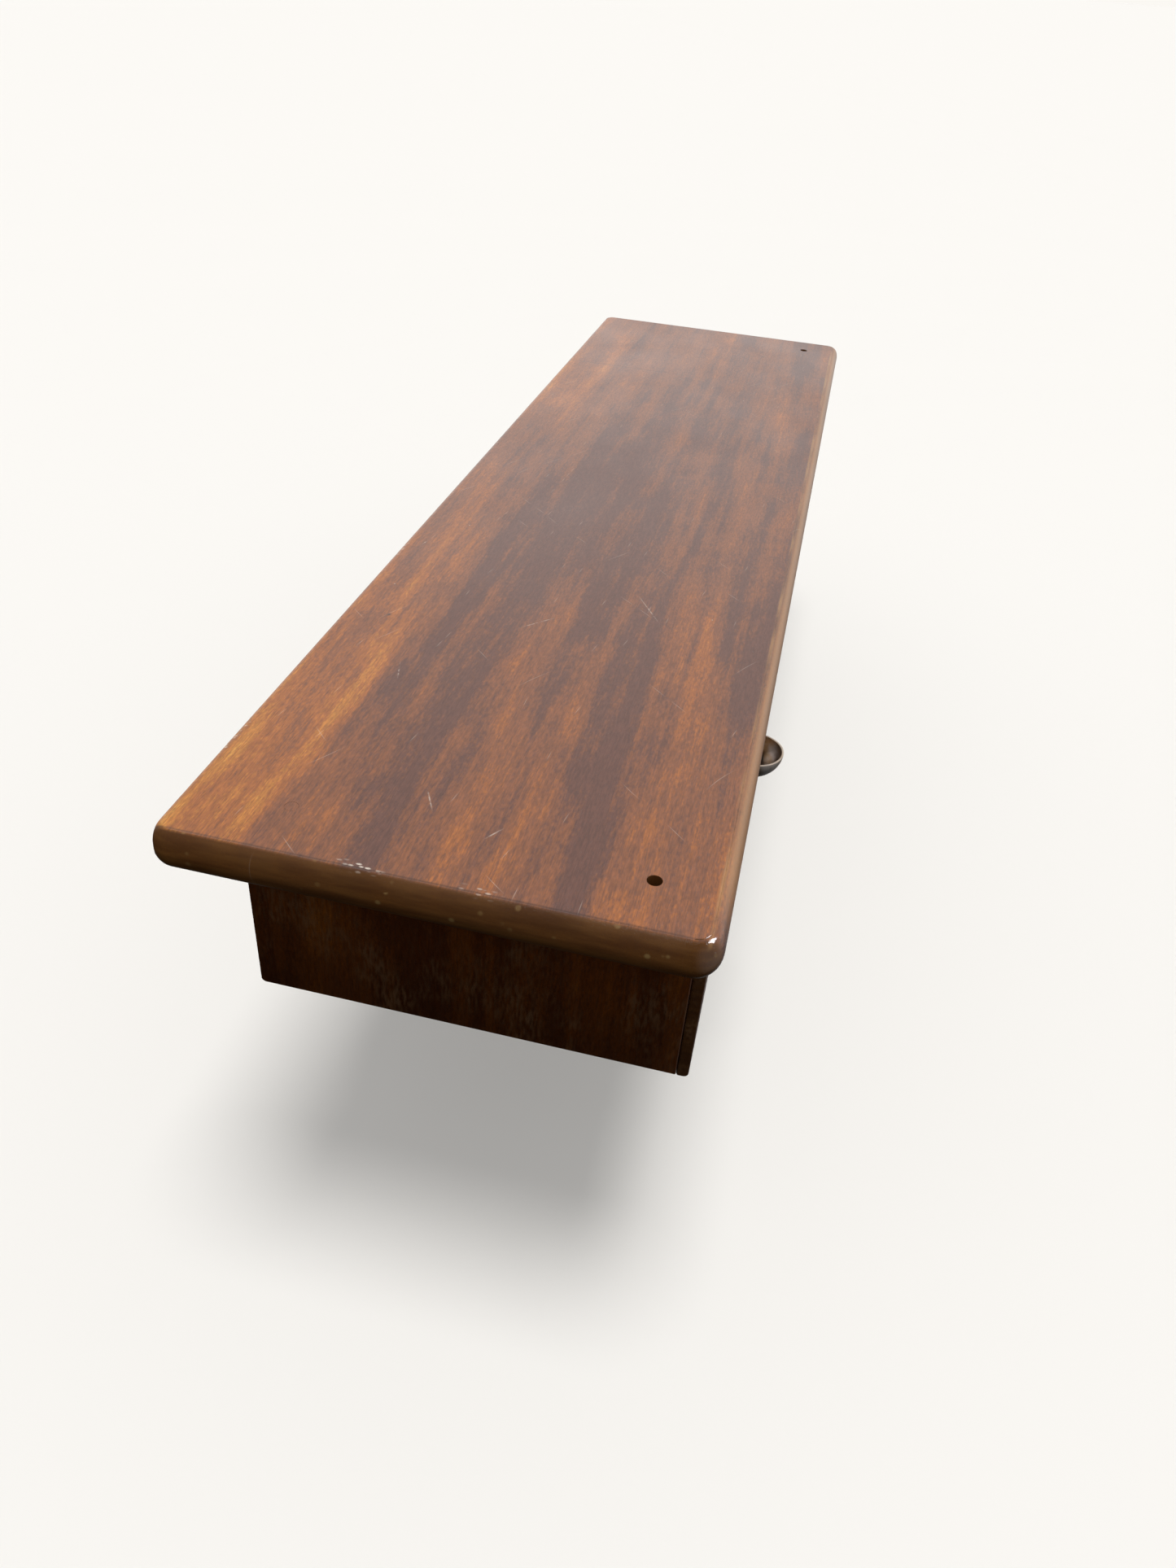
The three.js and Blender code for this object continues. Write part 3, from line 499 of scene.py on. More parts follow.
def top_wear(tree, place, colour, roughness, height):
    x, y, z = object_axes(tree)
    near_arris = close_to(tree, x, top_low.x + NOSE, 0.0013)
    front_arris = close_to(tree, y, top_low.y + NOSE, 0.0018)
    upper = between(tree, z, top_high.z - 0.004, top_high.z - 0.001)
    rubbed = streaks(tree, place, (0.06, 0.012, 0.05), detail=4.0)
    # painted shade: the line where the flat turns over at the left end, in the quirk, is darkened
    quirk_shade = maths(tree, "MULTIPLY", maths(tree, "MULTIPLY", near_arris, upper), 0.5)
    colour = mixed(tree, quirk_shade, colour, (*QUIRK_SHADE, 1))
    # the front line where the flat turns over is lightened in patches: partly wear, partly a painted highlight
    line = maths(tree, "MULTIPLY", front_arris, upper)
    line = maths(tree, "MULTIPLY", line, between(tree, rubbed, 0.36, 0.66, 0.1, 0.6))
    colour = mixed(tree, line, colour, (*WORN_GOLD_AND_HIGHLIGHT, 1))
    # the upper half of the front roll is painted amber: partly wear, partly a painted highlight
    front_roll_wear_and_highlight = between(tree, y, top_low.y + 0.5 * NOSE, top_low.y + NOSE, 0.55, 0.0)
    front_roll_wear_and_highlight = maths(tree, "MULTIPLY", front_roll_wear_and_highlight, between(tree, x, top_low.x + 0.01, top_low.x + 0.06))
    colour = mixed(tree, front_roll_wear_and_highlight, colour, (*FRONT_ROLL_AMBER_AND_HIGHLIGHT, 1))
    drawn_out = add(tree, "ShaderNodeVectorMath", {0: place, 1: (1.0, 0.45, 1.0)}, operation="MULTIPLY")
    chipped = flecks(tree, drawn_out.outputs["Vector"], 0.0017, 0.00085, 0.45)
    knocks = streaks(tree, place, (0.03, 0.021, 0.03), detail=1.0)
    knocked = maths(tree, "MAXIMUM", *[close_to(tree, y, *knock) for knock in KNOCKED_AT])
    near_edge = maths(tree, "MULTIPLY", close_to(tree, x, top_low.x + NOSE + 0.001, 0.0045), upper)
    knocked = maths(tree, "MULTIPLY", knocked, between(tree, knocks, 0.3, 0.5))
    chips = maths(tree, "MULTIPLY", chipped, knocked)
    chips = maths(tree, "MULTIPLY", chips, near_edge)
    back_edge = maths(tree, "MULTIPLY", close_to(tree, y, top_high.y, 0.0035), upper)
    nibbles = maths(tree, "MULTIPLY", chipped, between(tree, knocks, 0.50, 0.62))
    chips = maths(tree, "MAXIMUM", chips, maths(tree, "MULTIPLY", nibbles, back_edge))
    rubs = flecks(tree, place, 0.0065, 0.0019, 0.5)
    rubs = maths(tree, "MULTIPLY", rubs, between(tree, knocks, 0.35, 0.6))
    near_roll = between(tree, x, top_low.x + 0.7 * NOSE, top_low.x + NOSE, 0.7, 0.0)
    # painted shade: the outer part of the near end's roll is darkened, most on its upper part
    near_roll_shade = between(tree, z, top_high.z - 0.011, top_high.z - 0.004, 0.0, 0.5)
    colour = mixed(tree, maths(tree, "MULTIPLY", near_roll, near_roll_shade), colour, (0.022, 0.010, 0.004, 1))
    colour = mixed(tree, maths(tree, "MULTIPLY", rubs, near_roll), colour, (0.34, 0.22, 0.085, 1))
    specks = flecks(tree, place, 0.021, 0.00055, 0.35)
    scratches = scratches_along(tree, 0.5, 0.031, 0.019, 0.05)
    scratches = maths(tree, "MAXIMUM", scratches, scratches_along(tree, -0.8, 0.019, 0.023, 0.05))
    scratches = maths(tree, "MAXIMUM", scratches, scratches_along(tree, 0.12, 0.012, 0.014, 0.05))
    worn_away = between(tree, streaks(tree, place, (0.0025, 0.0025, 0.0025), detail=3.0), 0.35, 0.6)
    for scratch in SCRATCHES:
        drawn = maths(tree, "MULTIPLY", one_scratch(tree, x, y, *scratch), worn_away)
        scratches = maths(tree, "MAXIMUM", scratches, maths(tree, "MULTIPLY", drawn, 2.0))
    pale = maths(tree, "MAXIMUM", chips, maths(tree, "MULTIPLY", specks, 0.8))
    pale = maths(tree, "MAXIMUM", pale, maths(tree, "MULTIPLY", scratches, 0.28))
    colour = mixed(tree, pale, colour, (*IVORY, 1))
    dent_across = close_to(tree, y, top_high.y - DENT_FROM_BACK, 0.0020)
    dent = maths(tree, "MULTIPLY", close_to(tree, x, top_low.x + DENT_FROM_LEFT, 0.0024), dent_across)
    crack = close_to(tree, x, top_high.x - CRACK_FROM_RIGHT, 0.0011)
    crack = maths(tree, "MULTIPLY", crack, between(tree, y, -0.055, 0.05, 0.0, 0.55))
    colour = mixed(tree, maths(tree, "MAXIMUM", crack, dent), colour, (0.05, 0.028, 0.022, 1))
    roughness = maths(tree, "MULTIPLY_ADD", pale, 0.25, roughness)
    handled = between(tree, x, top_low.x + 0.008, top_low.x + 0.03, 1.0, 0.0)
    by_the_front = between(tree, y, top_low.y + 0.005, top_low.y + 0.025, 1.0, 0.0)
    handled = maths(tree, "MULTIPLY", handled, by_the_front)
    roughness = maths(tree, "MULTIPLY_ADD", handled, -0.26, roughness)
    height = maths(tree, "MULTIPLY_ADD", maths(tree, "MAXIMUM", chips, crack), -1.6, height)
    height = maths(tree, "MULTIPLY_ADD", scratches, -0.5, height)
    return colour, roughness, height


# %% [markdown]
# The end panels are the same wood with the grain upright. Their colours are darker than the top's, partly as
# painted shade, and darker still towards their lower edge, which is painted shade. They are scuffed by
# passing hands and cloths. The inside of the case gets the same recipe with a deeper stain.

# %% the case's mahogany
# darker colours for the end panels: partly their own stain, partly painted shade
PANEL_STOPS_STAIN_AND_SHADE = [
    (0.00, (0.080, 0.0180, 0.0012)),
    (0.35, (0.140, 0.0350, 0.0020)),
    (0.60, (0.200, 0.0560, 0.0030)),
    (0.82, (0.270, 0.0850, 0.0060)),
    (1.00, (0.360, 0.1300, 0.0140)),
]
PANEL_CONTRAST = 1.5


def panel_figure(tree, value):
    off_middle = maths(tree, "SUBTRACT", value, MIDDLE_TONE)
    return maths(tree, "MULTIPLY_ADD", off_middle, PANEL_CONTRAST, MIDDLE_TONE)


def panel_wear(tree, place, colour, roughness, height):
    x, y, z = object_axes(tree)
    # painted shade: the panel darkens towards its lower edge
    lower_edge_shade = between(tree, z, 0.0, 0.075, 0.45, 0.0)
    colour = mixed(tree, lower_edge_shade, colour, (0.008, 0.003, 0.0015, 1))
    specks = flecks(tree, place, 0.024, 0.0006, 0.4)
    colour = mixed(tree, maths(tree, "MULTIPLY", specks, 0.5), colour, (0.36, 0.24, 0.16, 1))
    scuff = between(tree, streaks(tree, place, (0.03, 0.02, 0.02), detail=4.0), 0.42, 0.66, 0.06, 0.5)
    dashes = between(tree, streaks(tree, place, (0.007, 0.0016, 0.002)), 0.35, 0.7)
    scuff = maths(tree, "MULTIPLY", scuff, dashes)
    colour = mixed(tree, scuff, colour, (0.17, 0.085, 0.030, 1))
    roughness = maths(tree, "MULTIPLY_ADD", scuff, 0.5, roughness)
    return colour, roughness, height


top_finish = mahogany("mahogany_top", "X", (3.1, 1.7, 0.4), own_figure=top_figure, wear=top_wear)
end_finishes = {
    side: mahogany(
        f"mahogany_end_{side}", "Z", shift, stops=PANEL_STOPS_STAIN_AND_SHADE, own_figure=panel_figure, wear=panel_wear
    )
    for side, shift in (("left", (0.3, 5.2, 2.2)), ("right", (7.9, 2.4, 4.1)))
}
drawer_front_finish = mahogany("mahogany_drawer_front", "X", (8.3, 4.2, 6.6), 0.62, wear=panel_wear)
case_finish = mahogany("mahogany_case", "X", (5.5, 9.1, 1.2), 0.55)
divider_finish = mahogany("mahogany_divider", "Z", (2.6, 6.3, 8.8), 0.55)
print("mahogany finishes:", len([m for m in bpy.data.materials if m.name.startswith("mahogany")]))

# %% [markdown]
# Inside, the drawer and the parts that nobody sees are a plain light hardwood, left bare. It has the same
# build as the mahogany but paler, with less contrast, a dry surface and patches of grime. The back and the
# drawer's bottom are sheets of birch veneer with broad, calm figure.

# %% bare woods
def bare_wood(name, along, shift, light, dark, band=(0.3, 0.02, 0.02), dirt=(0.16, 0.10, 0.06)):
    finish, tree, shader = new_finish(name, light, 0.62)
    place = log_place(tree, along, shift)
    bands = streaks(tree, place, band, detail=3.0, wander=0.4)
    lines = streaks(tree, place, (0.05, 0.0016, 0.002), detail=3.0)
    value = maths(tree, "MULTIPLY_ADD", maths(tree, "SUBTRACT", lines, 0.5), 0.5, bands)
    colour = colours_along(tree, between(tree, value, 0.2, 0.8), [(0.0, dark), (1.0, light)])
    pores = between(tree, streaks(tree, place, (0.005, 0.0003, 0.0004), detail=1.0), 0.64, 0.7)
    colour = mixed(tree, maths(tree, "MULTIPLY", pores, 0.4), colour, (*dirt, 1), "MIX")
    ends = end_grain(tree, along)
    colour = mixed(tree, maths(tree, "MULTIPLY", ends, 0.55), colour, (*[0.6 * part for part in dark], 1))
    stain = between(tree, streaks(tree, place, (0.12, 0.05, 0.05), detail=4.0), 0.5, 0.85, 0.0, 0.5)
    colour = mixed(tree, stain, colour, (*dirt, 1))
    saw = streaks(tree, place, (0.02, 0.0008, 0.0008), detail=2.0)
    height = maths(tree, "MULTIPLY_ADD", pores, -0.8, saw)
    tree.links.new(colour, shader.inputs["Base Color"])
    tree.links.new(maths(tree, "MULTIPLY_ADD", bands, 0.2, 0.5), shader.inputs["Roughness"])
    raise_grain(tree, shader, height, 0.00015, 0.6)
    return finish


LIGHT_WOOD = (0.42, 0.25, 0.115)
WARM_WOOD = (0.27, 0.145, 0.06)
BIRCH = (0.45, 0.29, 0.15)
BIRCH_DARK = (0.33, 0.195, 0.09)
bare_long = bare_wood("bare_wood_long", "X", (1.1, 2.2, 3.3), LIGHT_WOOD, WARM_WOOD)
bare_deep = bare_wood("bare_wood_deep", "Y", (4.4, 1.3, 2.5), LIGHT_WOOD, WARM_WOOD)
birch_sheet = bare_wood("birch_sheet", "X", (6.1, 7.3, 0.9), BIRCH, BIRCH_DARK, band=(0.5, 0.06, 0.02))
print("bare woods:", bare_long.name, bare_deep.name, birch_sheet.name)

# %% [markdown]
# Two metals. The pull is cast bronze gone dark in the hand, satin, with patches of brown, and lighter along
# its rim, partly rubbed bright and partly a painted highlight. The screws are plain steel, dulled by age,
# with patches of brown rust.

# %% metals
def steel(name):
    finish, tree, shader = new_finish(name, (0.42, 0.40, 0.37), 0.42, Metallic=1.0)
    here = add(tree, "ShaderNodeTexCoord").outputs["Object"]
    rust = between(tree, streaks(tree, here, (0.0021, 0.0021, 0.0021), detail=4.0), 0.5, 0.72, 0.0, 0.65)
    colour = mixed(tree, rust, (0.44, 0.42, 0.39, 1), (0.13, 0.065, 0.03, 1))
    turned = streaks(tree, here, (0.0011, 0.0002, 0.0011), detail=2.0)
    tree.links.new(colour, shader.inputs["Base Color"])
    tree.links.new(maths(tree, "MULTIPLY_ADD", rust, 0.35, 0.36), shader.inputs["Roughness"])
    raise_grain(tree, shader, turned, 0.00005, 0.5)
    return finish


pull_low, pull_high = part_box("cup_pull")


def dark_bronze(name):
    finish, tree, shader = new_finish(name, (0.07, 0.06, 0.052), 0.34, Metallic=1.0)
    here = add(tree, "ShaderNodeTexCoord").outputs["Object"]
    x, y, z = object_axes(tree)
    patina = streaks(tree, here, (0.006, 0.006, 0.006), detail=4.0)
    colour = colours_along(tree, patina, [(0.3, (0.40, 0.37, 0.35)), (0.7, (0.58, 0.54, 0.52))])
    brown = between(tree, streaks(tree, here, (0.012, 0.012, 0.009), detail=3.0), 0.38, 0.6, 0.1, 0.8)
    colour = mixed(tree, brown, colour, (0.36, 0.24, 0.12, 1))
    # the rim is lighter: partly rubbed metal, partly a painted highlight
    rim = between(tree, z, pull_high.z - 0.0006, pull_high.z - 0.0002)
    rubbed = streaks(tree, here, (0.004, 0.004, 0.004), detail=3.0)
    rim = maths(tree, "MULTIPLY", rim, between(tree, rubbed, 0.3, 0.6, 0.45, 1.0))
    colour = mixed(tree, rim, colour, (0.62, 0.52, 0.42, 1))
    roughness = maths(tree, "MULTIPLY_ADD", patina, 0.25, 0.25)
    tree.links.new(colour, shader.inputs["Base Color"])
    tree.links.new(roughness, shader.inputs["Roughness"])
    raise_grain(tree, shader, patina, 0.0002, 0.5)
    return finish


steel_finish = steel("dull_steel")
bronze_finish = dark_bronze("dark_bronze")
print("metals:", steel_finish.name, bronze_finish.name)

# %% [markdown]
# A packed board is right in size but raw: its faces are loose triangles and its edges knife-sharp. A joiner
# planes a board and takes the sharpness off with a few strokes. `planed` does the same to a copy: it merges
# the loose corners, joins the triangles of each flat face, and bevels the long outer edges. Edges around
# screw holes are left alone. Normals weighted by face area keep the flats flat and roll only the edges.
# The lower back corners of the end panels are worn rounder than that, so they are rasped off first.

# %% planing the boards
WORN_CORNER = 0.003
WELD = 0.00002
SAME_PLACE = 1e-5
BODY_OF = {
    node: body for body, nodes in frame["record"]["behaviour"]["bodies"].items() for node in nodes
}


def show(piece, node, finish):
    """Gives a finished piece its finish, its ride and the node that it stands for."""
    piece.data.materials.clear()
    piece.data.materials.append(finish)
    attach(piece, BODY_OF[node])
    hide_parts(node)
    return piece


def shade(mesh, sharp):
    """Shades the mesh smooth, except at edges that turn by more than the angle."""
    mesh.shade_smooth()
    mesh.set_sharp_from_angle(angle=sharp)


def shade_board(piece):
    """Gives a board smooth rounded edges and flat faces."""
    shade(piece.data, radians(38))
    weighted = piece.modifiers.new("flat faces stay flat", "WEIGHTED_NORMAL")
    weighted.keep_sharp = True


def long_arrises(shape, shortest):
    return [
        edge
        for edge in shape.edges
        if len(edge.link_faces) == 2
        and edge.calc_length() > shortest
        and edge.calc_face_angle_signed() > radians(40)
    ]


def round_edges(shape, edges, offset, steps):
    return bmesh.ops.bevel(
        shape,
        geom=edges,
        offset=offset,
        segments=steps,
        profile=0.5,
        affect="EDGES",
        material=-1,
        clamp_overlap=False,
    )


def planed(node, finish, arris=0.0007, shortest=0.009, steps=3, prepare=None):
    shape = bmesh.new()
    shape.from_mesh(frame["nodes"][node].data)
    bmesh.ops.remove_doubles(shape, verts=shape.verts, dist=WELD)
    bmesh.ops.dissolve_limit(shape, angle_limit=radians(1), verts=shape.verts, edges=shape.edges)
    if prepare:
        prepare(shape)
    round_edges(shape, long_arrises(shape, shortest), arris, steps)
    piece = bare_object(shape, f"{node}_planed")
    shade_board(piece)
    return show(piece, node, finish)


def round_corner(shape, test):
    """Rounds the edges that pass the test as generously as a rasp would."""
    edges = [edge for edge in shape.edges if test(*[vert.co for vert in edge.verts])]
    round_edges(shape, edges, WORN_CORNER, 5)


def worn_panel(shape):
    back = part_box("end_panel_left")[1].y
    round_corner(shape, lambda a, b: max(a.z, b.z) < SAME_PLACE and min(a.y, b.y) > back - SAME_PLACE)


for side in ("left", "right"):
    planed(f"end_panel_{side}", end_finishes[side], arris=0.0008, prepare=worn_panel)
for node in ("bottom_board", "front_rail"):
    planed(node, case_finish, arris=0.0008)
planed("hanging_rail", bare_long, arris=0.0008)
planed("centre_divider", divider_finish)
planed("back_panel", birch_sheet, arris=0.0004)
for side in ("left", "right"):
    for node in (f"drawer_runner_{side}", f"kicker_{side}", f"drawer_stop_{side}"):
        planed(node, bare_deep, arris=0.0005, shortest=0.003)

# %% [markdown]
# The top board is made new, because its rounded edge is what the eye follows. It starts as a thin block.
# The two front corners are rounded in plan, and then every long edge is rolled over with an even bevel. The
# block is still too thin: stretching it upwards to its true thickness turns the round roll into the taller,
# flatter roll of a real bullnose. A fine groove, the quirk, is pressed along the line where the flat ends,
# except along the back. The block is made a little too deep, and a last cut takes most of the roll off the
# back again. It leaves the back's edges softened and its two corners worn. Then the screw holes are bored.

# %% the top board
FRONT_CORNER = 0.014
BACK_CORNER = 0.005
LAND = 0.0004
BACK_ROUND = 0.012
SPARE = 0.004
OPEN_HOLE = 0.00375
PLUG_FIT = 0.00005
COUNTERBORE = 0.014
BIT_PLAY = 0.0003
QUIRK_WIDTH = 0.0011
QUIRK_DEPTH = 0.0004


def box_shape(low, high):
    shape = bmesh.new()
    bmesh.ops.create_cube(shape, size=1.0)
    bmesh.ops.scale(shape, verts=shape.verts, vec=high - low)
    bmesh.ops.translate(shape, verts=shape.verts, vec=(low + high) / 2)
    return shape


def upright_edges(shape, test):
    return [
        edge
        for edge in shape.edges
        if abs(edge.verts[0].co.z - edge.verts[1].co.z) > 0.001 and test(edge.verts[0].co)
    ]


def level_loop(shape, z):
    return [edge for edge in shape.edges if all(abs(vert.co.z - z) < 1e-6 for vert in edge.verts)]


def apply_modifiers(piece):
    """Makes what the modifiers show into the piece's own mesh."""
    bpy.context.view_layer.update()
    seen_mesh = bpy.data.meshes.new_from_object(piece.evaluated_get(bpy.context.evaluated_depsgraph_get()))
    piece.modifiers.clear()
    piece.data = seen_mesh


def bored(piece, cutters, operation="DIFFERENCE"):
    """Cuts the piece with each cutter, and throws the cutters away."""
    for cutter in cutters:
        cut = piece.modifiers.new("cut", "BOOLEAN")
        cut.operation = operation
        cut.solver = "EXACT"
        cut.object = cutter
    apply_modifiers(piece)
    for cutter in cutters:
        bpy.data.objects.remove(cutter)


def rod_shape(radius, low_z, high_z, x, y, sides=32):
    shape = bmesh.new()
    bmesh.ops.create_cone(
        shape, cap_ends=True, segments=sides, radius1=radius, radius2=radius, depth=high_z - low_z
    )
    bmesh.ops.translate(shape, verts=shape.verts, vec=(x, y, (low_z + high_z) / 2))
    return shape


thin = 2 * NOSE + LAND
shape = box_shape(
    Vector((top_low.x, top_low.y, -thin / 2)), Vector((top_high.x, top_high.y + SPARE, thin / 2))
)
round_edges(shape, upright_edges(shape, lambda place: place.y < 0), FRONT_CORNER, 12)
round_edges(shape, upright_edges(shape, lambda place: place.y > top_high.y), BACK_ROUND, 12)
round_edges(shape, level_loop(shape, thin / 2) + level_loop(shape, -thin / 2), NOSE, 12)
thickness = top_high.z - top_low.z
bmesh.ops.scale(shape, verts=shape.verts, vec=(1, 1, thickness / thin))
bmesh.ops.translate(shape, verts=shape.verts, vec=(0, 0, (top_low.z + top_high.z) / 2))
groove = round_edges(shape, level_loop(shape, top_high.z), QUIRK_WIDTH / 2, 2)
rim = [vert for vert in groove["verts"] if vert.is_valid]
print("the top's shape has", len(shape.faces), "faces")

inner = [
    vert
    for vert in rim
    if vert.co.y < top_high.y - BACK_ROUND
    and sum(1 for edge in vert.link_edges if edge.other_vert(vert) in set(rim)) == 4
]
bmesh.ops.translate(shape, verts=inner, vec=(0, 0, -QUIRK_DEPTH))
top_board = bare_object(shape, "top_board_rounded")

keep = box_shape(
    Vector((top_low.x - 0.0001, top_low.y - 0.01, top_low.z - 0.01)),
    Vector((top_high.x + 0.0001, top_high.y, top_high.z + 0.01)),
)
round_edges(keep, upright_edges(keep, lambda place: place.y > 0), BACK_CORNER, 6)
bored(top_board, [bare_object(keep, "keep")], "INTERSECT")
screw_ends = {
    node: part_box(node) for node in sorted(frame["nodes"]) if node.startswith("top_screw_")
}
holes = []
plug_low, plug_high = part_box("top_plug_back_left")
plug_radius = (plug_high.x - plug_low.x) / 2
for node, (low, high) in screw_ends.items():
    middle = (low + high) / 2
    radius = plug_radius + PLUG_FIT if middle.y > 0 else OPEN_HOLE
    floor_z = top_high.z - COUNTERBORE - BIT_PLAY
    holes.append(rod_shape(radius, floor_z, top_high.z + 0.01, middle.x, middle.y))
bored(top_board, [bare_object(hole, "hole") for hole in holes])
shade_board(top_board)
show(top_board, "top_board", top_finish)
print("top board:", len(top_board.data.polygons), "faces,", len(holes), "screw holes")

# %% [markdown]
# The two back screws are hidden under plugs. A careful joiner cuts a plug from the same board and lines its
# grain up, so that it can hardly be found again. It takes the top's own finish, whose figure is a solid
# block of wood, so the streaks run on across it, and only a fine ring shows round it.

# %% plugs
for side in ("left", "right"):
    planed(f"top_plug_back_{side}", top_finish, arris=0.0001, shortest=0.0001, steps=2)

# %% [markdown]
# The drawer. Its front is one thick board whose lip lies over the edges of the case, softened more than the
# other boards by years of hands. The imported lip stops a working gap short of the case. Seen end-on, daylight
# would shine through that slit, so here the lip's back comes most of the way to the case. The sides and back
# are thin bare boards joined by real dovetails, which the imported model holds, so they only need planing.

# %% the drawer's boards
LIP_GAP = 0.0003
GAP_CLOSED = 0.8


def worn_front(shape):
    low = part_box("drawer_front")[0]
    front = low.y + SAME_PLACE
    round_corner(shape, lambda a, b: max(a.y, b.y) < front and abs(a.z - b.z) < SAME_PLACE)
    lip_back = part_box("end_panel_left")[0].y - LIP_GAP
    for vert in shape.verts:
        if abs(vert.co.y - lip_back) < SAME_PLACE:
            vert.co.y += GAP_CLOSED * LIP_GAP


planed("drawer_front", drawer_front_finish, arris=0.0011, steps=4, prepare=worn_front)
for side in ("left", "right"):
    planed(f"drawer_side_{side}", bare_deep, arris=0.0004)
planed("drawer_back", bare_long, arris=0.0004)
planed("drawer_bottom", birch_sheet, arris=0.0004)
planed("turn_button", case_finish, arris=0.0006, shortest=0.0001)

# %% [markdown]
# The cup pull is a half bowl, open upwards, so fingers reach in from above. One point is spun down through
# a quarter turn to draw the bowl's outline, and that outline is spun through half a turn to sweep the
# bowl. A face closes the flat back. The sheet then gets its wall by solidify, which thickens inwards so
# that the outside stays the right size, and a small bevel rounds the rim.

# %% the cup pull
PULL_WALL = 0.0012
BOSS = 0.0036
BOSS_LENGTH = 0.0058
RADIUS = (pull_high.x - pull_low.x) / 2
PULL_DEPTH = pull_high.z - pull_low.z
pull_middle = (pull_high.x + pull_low.x) / 2

bowl = bmesh.new()
lowest = bowl.verts.new((0, 0, -1))
bmesh.ops.spin(bowl, geom=[lowest], cent=(0, 0, 0), axis=(0, 1, 0), angle=pi / 2, steps=16)
outline = list(bowl.verts) + list(bowl.edges)
bmesh.ops.spin(bowl, geom=outline, cent=(0, 0, 0), axis=(0, 0, 1), angle=pi, steps=36)
bmesh.ops.remove_doubles(bowl, verts=bowl.verts, dist=0.0001)
sides = {round(vert.co.x, 3) for vert in bowl.verts}
print("bowl sweep spans x", min(sides), max(sides), "with", len(bowl.faces), "faces")
if max(vert.co.y for vert in bowl.verts) > 0.5:
    bmesh.ops.rotate(bowl, verts=bowl.verts, cent=(0, 0, 0), matrix=Matrix.Rotation(pi, 3, "Z"))
bmesh.ops.scale(bowl, verts=bowl.verts, vec=(RADIUS, RADIUS, PULL_DEPTH))
back_edges = [
    edge for edge in bowl.edges if edge.is_boundary and all(abs(vert.co.y) < 1e-6 for vert in edge.verts)
]
back_verts = {vert for edge in back_edges for vert in edge.verts}
corners = [vert for vert in back_verts if abs(vert.co.z) < 1e-6]
top_line = bowl.edges.new(corners)
bmesh.ops.contextual_create(bowl, geom=back_edges + [top_line])
bmesh.ops.recalc_face_normals(bowl, faces=bowl.faces)
outward = max(bowl.faces, key=lambda face: -face.calc_center_median().z)
if outward.normal.z > 0:
    bmesh.ops.reverse_faces(bowl, faces=bowl.faces)
bmesh.ops.translate(bowl, verts=bowl.verts, vec=(pull_middle, pull_high.y, pull_high.z))
cup_pull = bare_object(bowl, "cup_pull_cast")
wall = cup_pull.modifiers.new("wall", "SOLIDIFY")
wall.thickness = PULL_WALL
wall.offset = -1
wall.use_even_offset = True
soft = cup_pull.modifiers.new("rim", "BEVEL")
soft.width = 0.00035
soft.segments = 3
soft.limit_method = "ANGLE"
soft.angle_limit = radians(50)
apply_modifiers(cup_pull)
pull_shape = bmesh.new()
pull_shape.from_mesh(cup_pull.data)
for number in (1, 2):
    low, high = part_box(f"pull_screw_{number}")
    made = bmesh.ops.create_cone(
        pull_shape, cap_ends=True, segments=28, radius1=BOSS, radius2=BOSS * 0.94, depth=BOSS_LENGTH
    )
    bmesh.ops.rotate(pull_shape, verts=made["verts"], cent=(0, 0, 0), matrix=Matrix.Rotation(pi / 2, 3, "X"))
    place = ((low.x + high.x) / 2, pull_high.y - BOSS_LENGTH / 2 - 0.0004, (low.z + high.z) / 2)
    bmesh.ops.translate(pull_shape, verts=made["verts"], vec=place)
    end_ring = [
        edge
        for vert in made["verts"]
        for edge in vert.link_edges
        if all(other.co.y < pull_high.y - BOSS_LENGTH for other in edge.verts)
    ]
    round_edges(pull_shape, list(set(end_ring)), 0.0006, 3)
pull_mesh = bpy.data.meshes.new("cup_pull_cast")
pull_shape.to_mesh(pull_mesh)
pull_shape.free()
shade(pull_mesh, radians(50))
cup_pull.data = pull_mesh
show(cup_pull, "cup_pull", bronze_finish)
print("cup pull:", len(pull_mesh.polygons), "faces")

# %% [markdown]
# A slotted wood screw is a turned shape: its outline is spun once round its axis. The slot is milled across
# the head. The thread is a row of rings, which reads the same at this size as a true spiral. Each screw
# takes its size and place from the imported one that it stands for, and a table says which way each group is
# driven.

# %% wood screws
DRIVEN = {
    "top_screw": (0, 0, -1),
    "back_screw": (0, -1, 0),
    "hanging_rail_screw": (0, 1, 0),
    "front_rail_screw": (0, 0, 1),
    "runner_screw": (0, 0, -1),
    "turn_button_screw": (0, 1, 0),
}
SLOT_WIDTH = 0.0009
PITCH = 0.0014
HEAD_DEPTH = 0.68
SHANK = 0.5
CORE = 0.36
THREAD_START = 0.43


def turned(outline, sides=28):
    """Spins an outline of (radius, height) points about Z."""
    shape = bmesh.new()
    points = [shape.verts.new((radius, 0, height)) for radius, height in outline]
    rails = [shape.edges.new(pair) for pair in zip(points, points[1:])]
    bmesh.ops.spin(
        shape, geom=points + rails, cent=(0, 0, 0), axis=(0, 0, 1), angle=2 * pi, steps=sides, use_merge=True
    )
    bmesh.ops.remove_doubles(shape, verts=shape.verts, dist=0.000005)
    bmesh.ops.recalc_face_normals(shape, faces=shape.faces)
    return shape


def slot_cutter(head, depth, above, width=SLOT_WIDTH):
    reach = 1.3 * head
    return bare_object(
        box_shape(Vector((-reach, -width / 2, -depth)), Vector((reach, width / 2, above))), "slot_cutter"
    )


